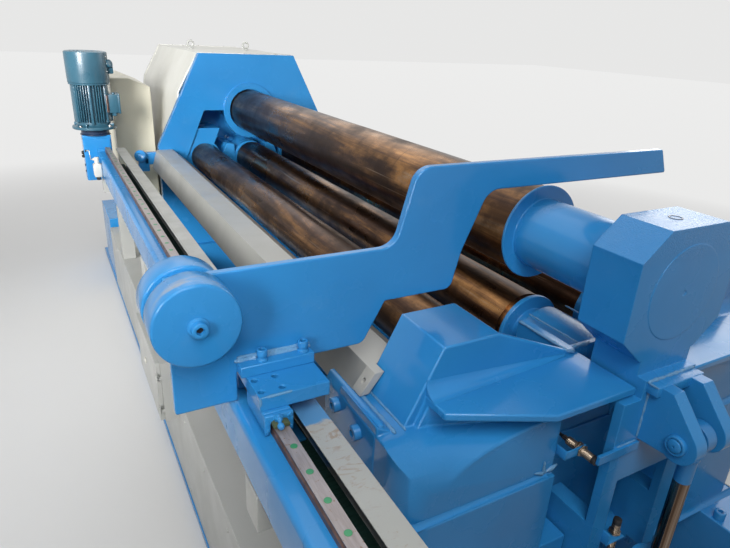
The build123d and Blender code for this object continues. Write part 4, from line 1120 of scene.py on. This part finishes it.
def dressHousing():
    screws, width = [], housing["stripWidth"]
    for y in housing["ends"]:
        for (x0, z0), (x1, z1) in zip(housing["outline"], housing["outline"][1:]):
            start, end = Vector((x0, y, z0)), Vector((x1, y, z1))
            length, along = (end - start).length, (end - start).normalized()
            out = Vector((-along.z, 0, along.x))
            place = Matrix((along, Vector((0, 1, 0)), out)).transposed().to_4x4()
            place = Matrix.Translation(start) @ place
            addBlock((-0.0005, 0, -0.001), (length + 0.0005, width, 0.0022), 0.0007, place)
            count = max(1, round(length / housing["screwPitch"]))
            for index in range(count):
                spot = start + along * (length * (index + 0.5) / count) + Vector((0, width / 2, 0))
                screws.append(list(zip(spot, spot + out * 0.0048)))
    finishPiece("housing_edge_strips", paleBeige)
    for path in screws:
        addRod(path, 0.0055, 16, tip=0.0035)
    finishPiece("housing_screws", plainMetal)

    low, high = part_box("lifting_eyes")
    wire = housing["eyeWire"]
    turns = [math.tau * step / 12 for step in range(12)]
    ring = [(housing["eyeRadius"] + wire * math.cos(turn), wire * math.sin(turn)) for turn in turns]
    boss = mm((0, 0), (18, 0), (18, 4), (16, 6), (8, 8), (0, 8))
    for side in (-1, 1):
        x, y = side * (high[0] - 0.022), (low[1] + high[1]) / 2
        addTurned((x, y, low[2] - 0.001), (0, 0, 1), boss, 32)
        addTurned((x, y, low[2] + 0.0275), (0, 1, 0), ring, 36, closed=True)
    finishPiece("lifting_eye_rings", beige, replaced="lifting_eyes")


# Smaller fittings, and the screws of the sheets

fittings = {
    "latch": (-0.7885, -0.115, 0.395),
    "coverScrewPitch": 0.24,
    "bracketBoltX": -0.745,
    "bracketBoltY": (-1.20, -0.45, 0.30, 0.95),
    "bracketTop": 0.8045,
}


def dressFittings():
    # the cabinet's raised door and its hinge pins
    (x, near, bottom), (_, far, top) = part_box("control_cabinet")
    addBlock((x - 0.0012, near + 0.045, bottom + 0.060), (x + 0.001, far - 0.045, top - 0.130),
             0.0006)
    for z in (bottom + 0.14, top - 0.24):
        addRod((x - 0.001, near + 0.040, (z - 0.03, z + 0.03)), 0.005, 20, 0.0015)
    finishPiece("cabinet_panel", warmBeige)

    addBlock((-0.588, 1.086, 0.792), (-0.536, 1.120, 0.862), 0.005)
    addBlock((-0.560, 1.086, 0.826), (-0.478, 1.120, 0.888), 0.006)
    addTurned((-0.570, 1.094, 0.868), (-0.45, -0.8, 0.35), mm(
        (0, -20), (16, -20), (16, 2), (27, 4), (29.5, 7), (29.5, 22), (27.5, 26), (24, 28),
        (11, 28.5), (10.5, 26.5), (0, 26.5)), 40)
    finishPiece("far_plate_fitting", blue)

    addTurned(fittings["latch"], (-1, 0, 0), mm(
        (0, 0), (12.5, 0), (12.5, 2.8), (11.2, 4), (8, 4.2), (7.8, 3), (1.4, 3), (1.2, 1),
        (0, 1)), 36)
    finishPiece("box_latch", switchGrey, "box_lid")

    # behind the bottom roll, in the far plate's recess
    addTurned((-0.066, 1.294, 0.910), (0, -1, 0), mm(
        (0, 0), (22, 0), (22, 6), (14, 9), (13, 30), (18, 32), (18, 44), (11, 47), (0, 47)), 32)
    finishPiece("recess_fitting", blue, "bottom_bearings")

    for node, side in (("left_side_cover", -1), ("right_side_cover", 1)):
        low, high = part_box(node)
        x, y = low[0] if side < 0 else high[0], low[1] + 0.06
        while y < high[1]:
            for z in (low[2] + 0.03, high[2] - 0.045):
                addRod(((x, x + side * 0.003), y, z), 0.0065, 16, tip=0.004)
            y += fittings["coverScrewPitch"]
    finishPiece("cover_screws", beige)
    for y in fittings["bracketBoltY"]:
        addHexHead((fittings["bracketBoltX"], y, fittings["bracketTop"]), (0, 0, 1), 0.0135, 0.006)
    finishPiece("bracket_bolts", plainMetal)


dressCounterweight()
dressNearFrame()
dressDropEnd()
dressMotor()
dressLimitSwitch()
dressHousing()
dressFittings()
bpy.data.meshes.remove(shellMesh)
pieceMesh.free()
print("pieces made")


# Floor, backdrop and light

studio = {
    "floorSize": 60,
    "floorColour": (0.72, 0.72, 0.715),
    "bounceColour": (0.14, 0.14, 0.14),
    "fadeFrom": 2.4,       # metres from the middle, past which the floor turns into the backdrop
    "fadeTo": 5.5,
    "worldStrength": 0.12,
    "backdrop": (0.80, 0.80, 0.795),
    "lamps": [             # name, place, aim, size, power, spread
        ("overhead", (-0.9, 1.4, 4.6), (0, 0.4, 0.8), 4.0, 50, 180),
        ("front", (-1.0, -2.6, 2.7), (-0.4, -1.2, 1.15), 1.2, 42, 180),
        ("far", (-3.6, -2.6, 2.4), (-0.2, 2.0, 1.1), 1.8, 56, 60),
        ("back", (1.5, 5.5, 5.0), (0, 0, 0.9), 4.0, 40, 180),
        ("side", (4.2, 0.6, 2.6), (0.4, 0, 0.7), 2.6, 55, 180),
    ],
}


def seenRays():
    # 1 where the ray is seen, mirrored or seen through, 0 where it only lights
    path = addNode("LightPath", {}).outputs
    seen = maths("MAXIMUM", path["Is Camera Ray"], path["Is Glossy Ray"])
    return maths("MAXIMUM", seen, path["Is Transmission Ray"])


def addFloor():
    bpy.ops.mesh.primitive_plane_add(size=studio["floorSize"])
    floor = bpy.context.object
    floor.name = "floor"
    floor.location = (0, 0, -0.0005)
    startMaterial("floor", roughness=0.75, specular=0.1)
    colour = studio["floorColour"]
    shown = ramp(noise(0.8, detail=5), (0.3, dimmed(colour, 0.96)), (0.7, colour))
    seen = seenRays()
    away = addNode("VectorMath", {0: objectPoint()}, operation="LENGTH")
    far = greyRamp(away.outputs["Value"], studio["fadeFrom"], studio["fadeTo"])
    colour = mixColour(seen, studio["bounceColour"], shown)
    floor.data.materials.append(shade({
        "Base Color": mixColour(far, colour, (0, 0, 0)),
        "Emission Color": studio["backdrop"],
        "Emission Strength": maths("MULTIPLY", far, seen),
    }))


def addLight():
    world = bpy.data.worlds.new("studio")
    world.use_nodes = True
    bpy.context.scene.world = inHand["owner"] = world
    treeNodes = world.node_tree.nodes
    lit = {"Color": (1, 1, 1), "Strength": studio["worldStrength"]}
    lit = setInputs(treeNodes["Background"], lit).outputs[0]
    shown = addNode("Background", {"Color": studio["backdrop"]}).outputs[0]
    choose = addNode("MixShader", {0: seenRays(), 1: lit, 2: shown})
    setInputs(treeNodes["World Output"], {"Surface": choose.outputs[0]})

    for name, place, aim, size, power, spread in studio["lamps"]:
        data = bpy.data.lights.new(name, "AREA")
        data.size, data.energy, data.spread = size, power, math.radians(spread)
        lamp = linkObject(name, data)
        lamp.location = place
        lamp.rotation_euler = (Vector(aim) - Vector(place)).to_track_quat("-Z", "Y").to_euler()
    bpy.context.scene.view_settings.view_transform = "Standard"
    print("studio set")


addFloor()
addLight()
addCamera()
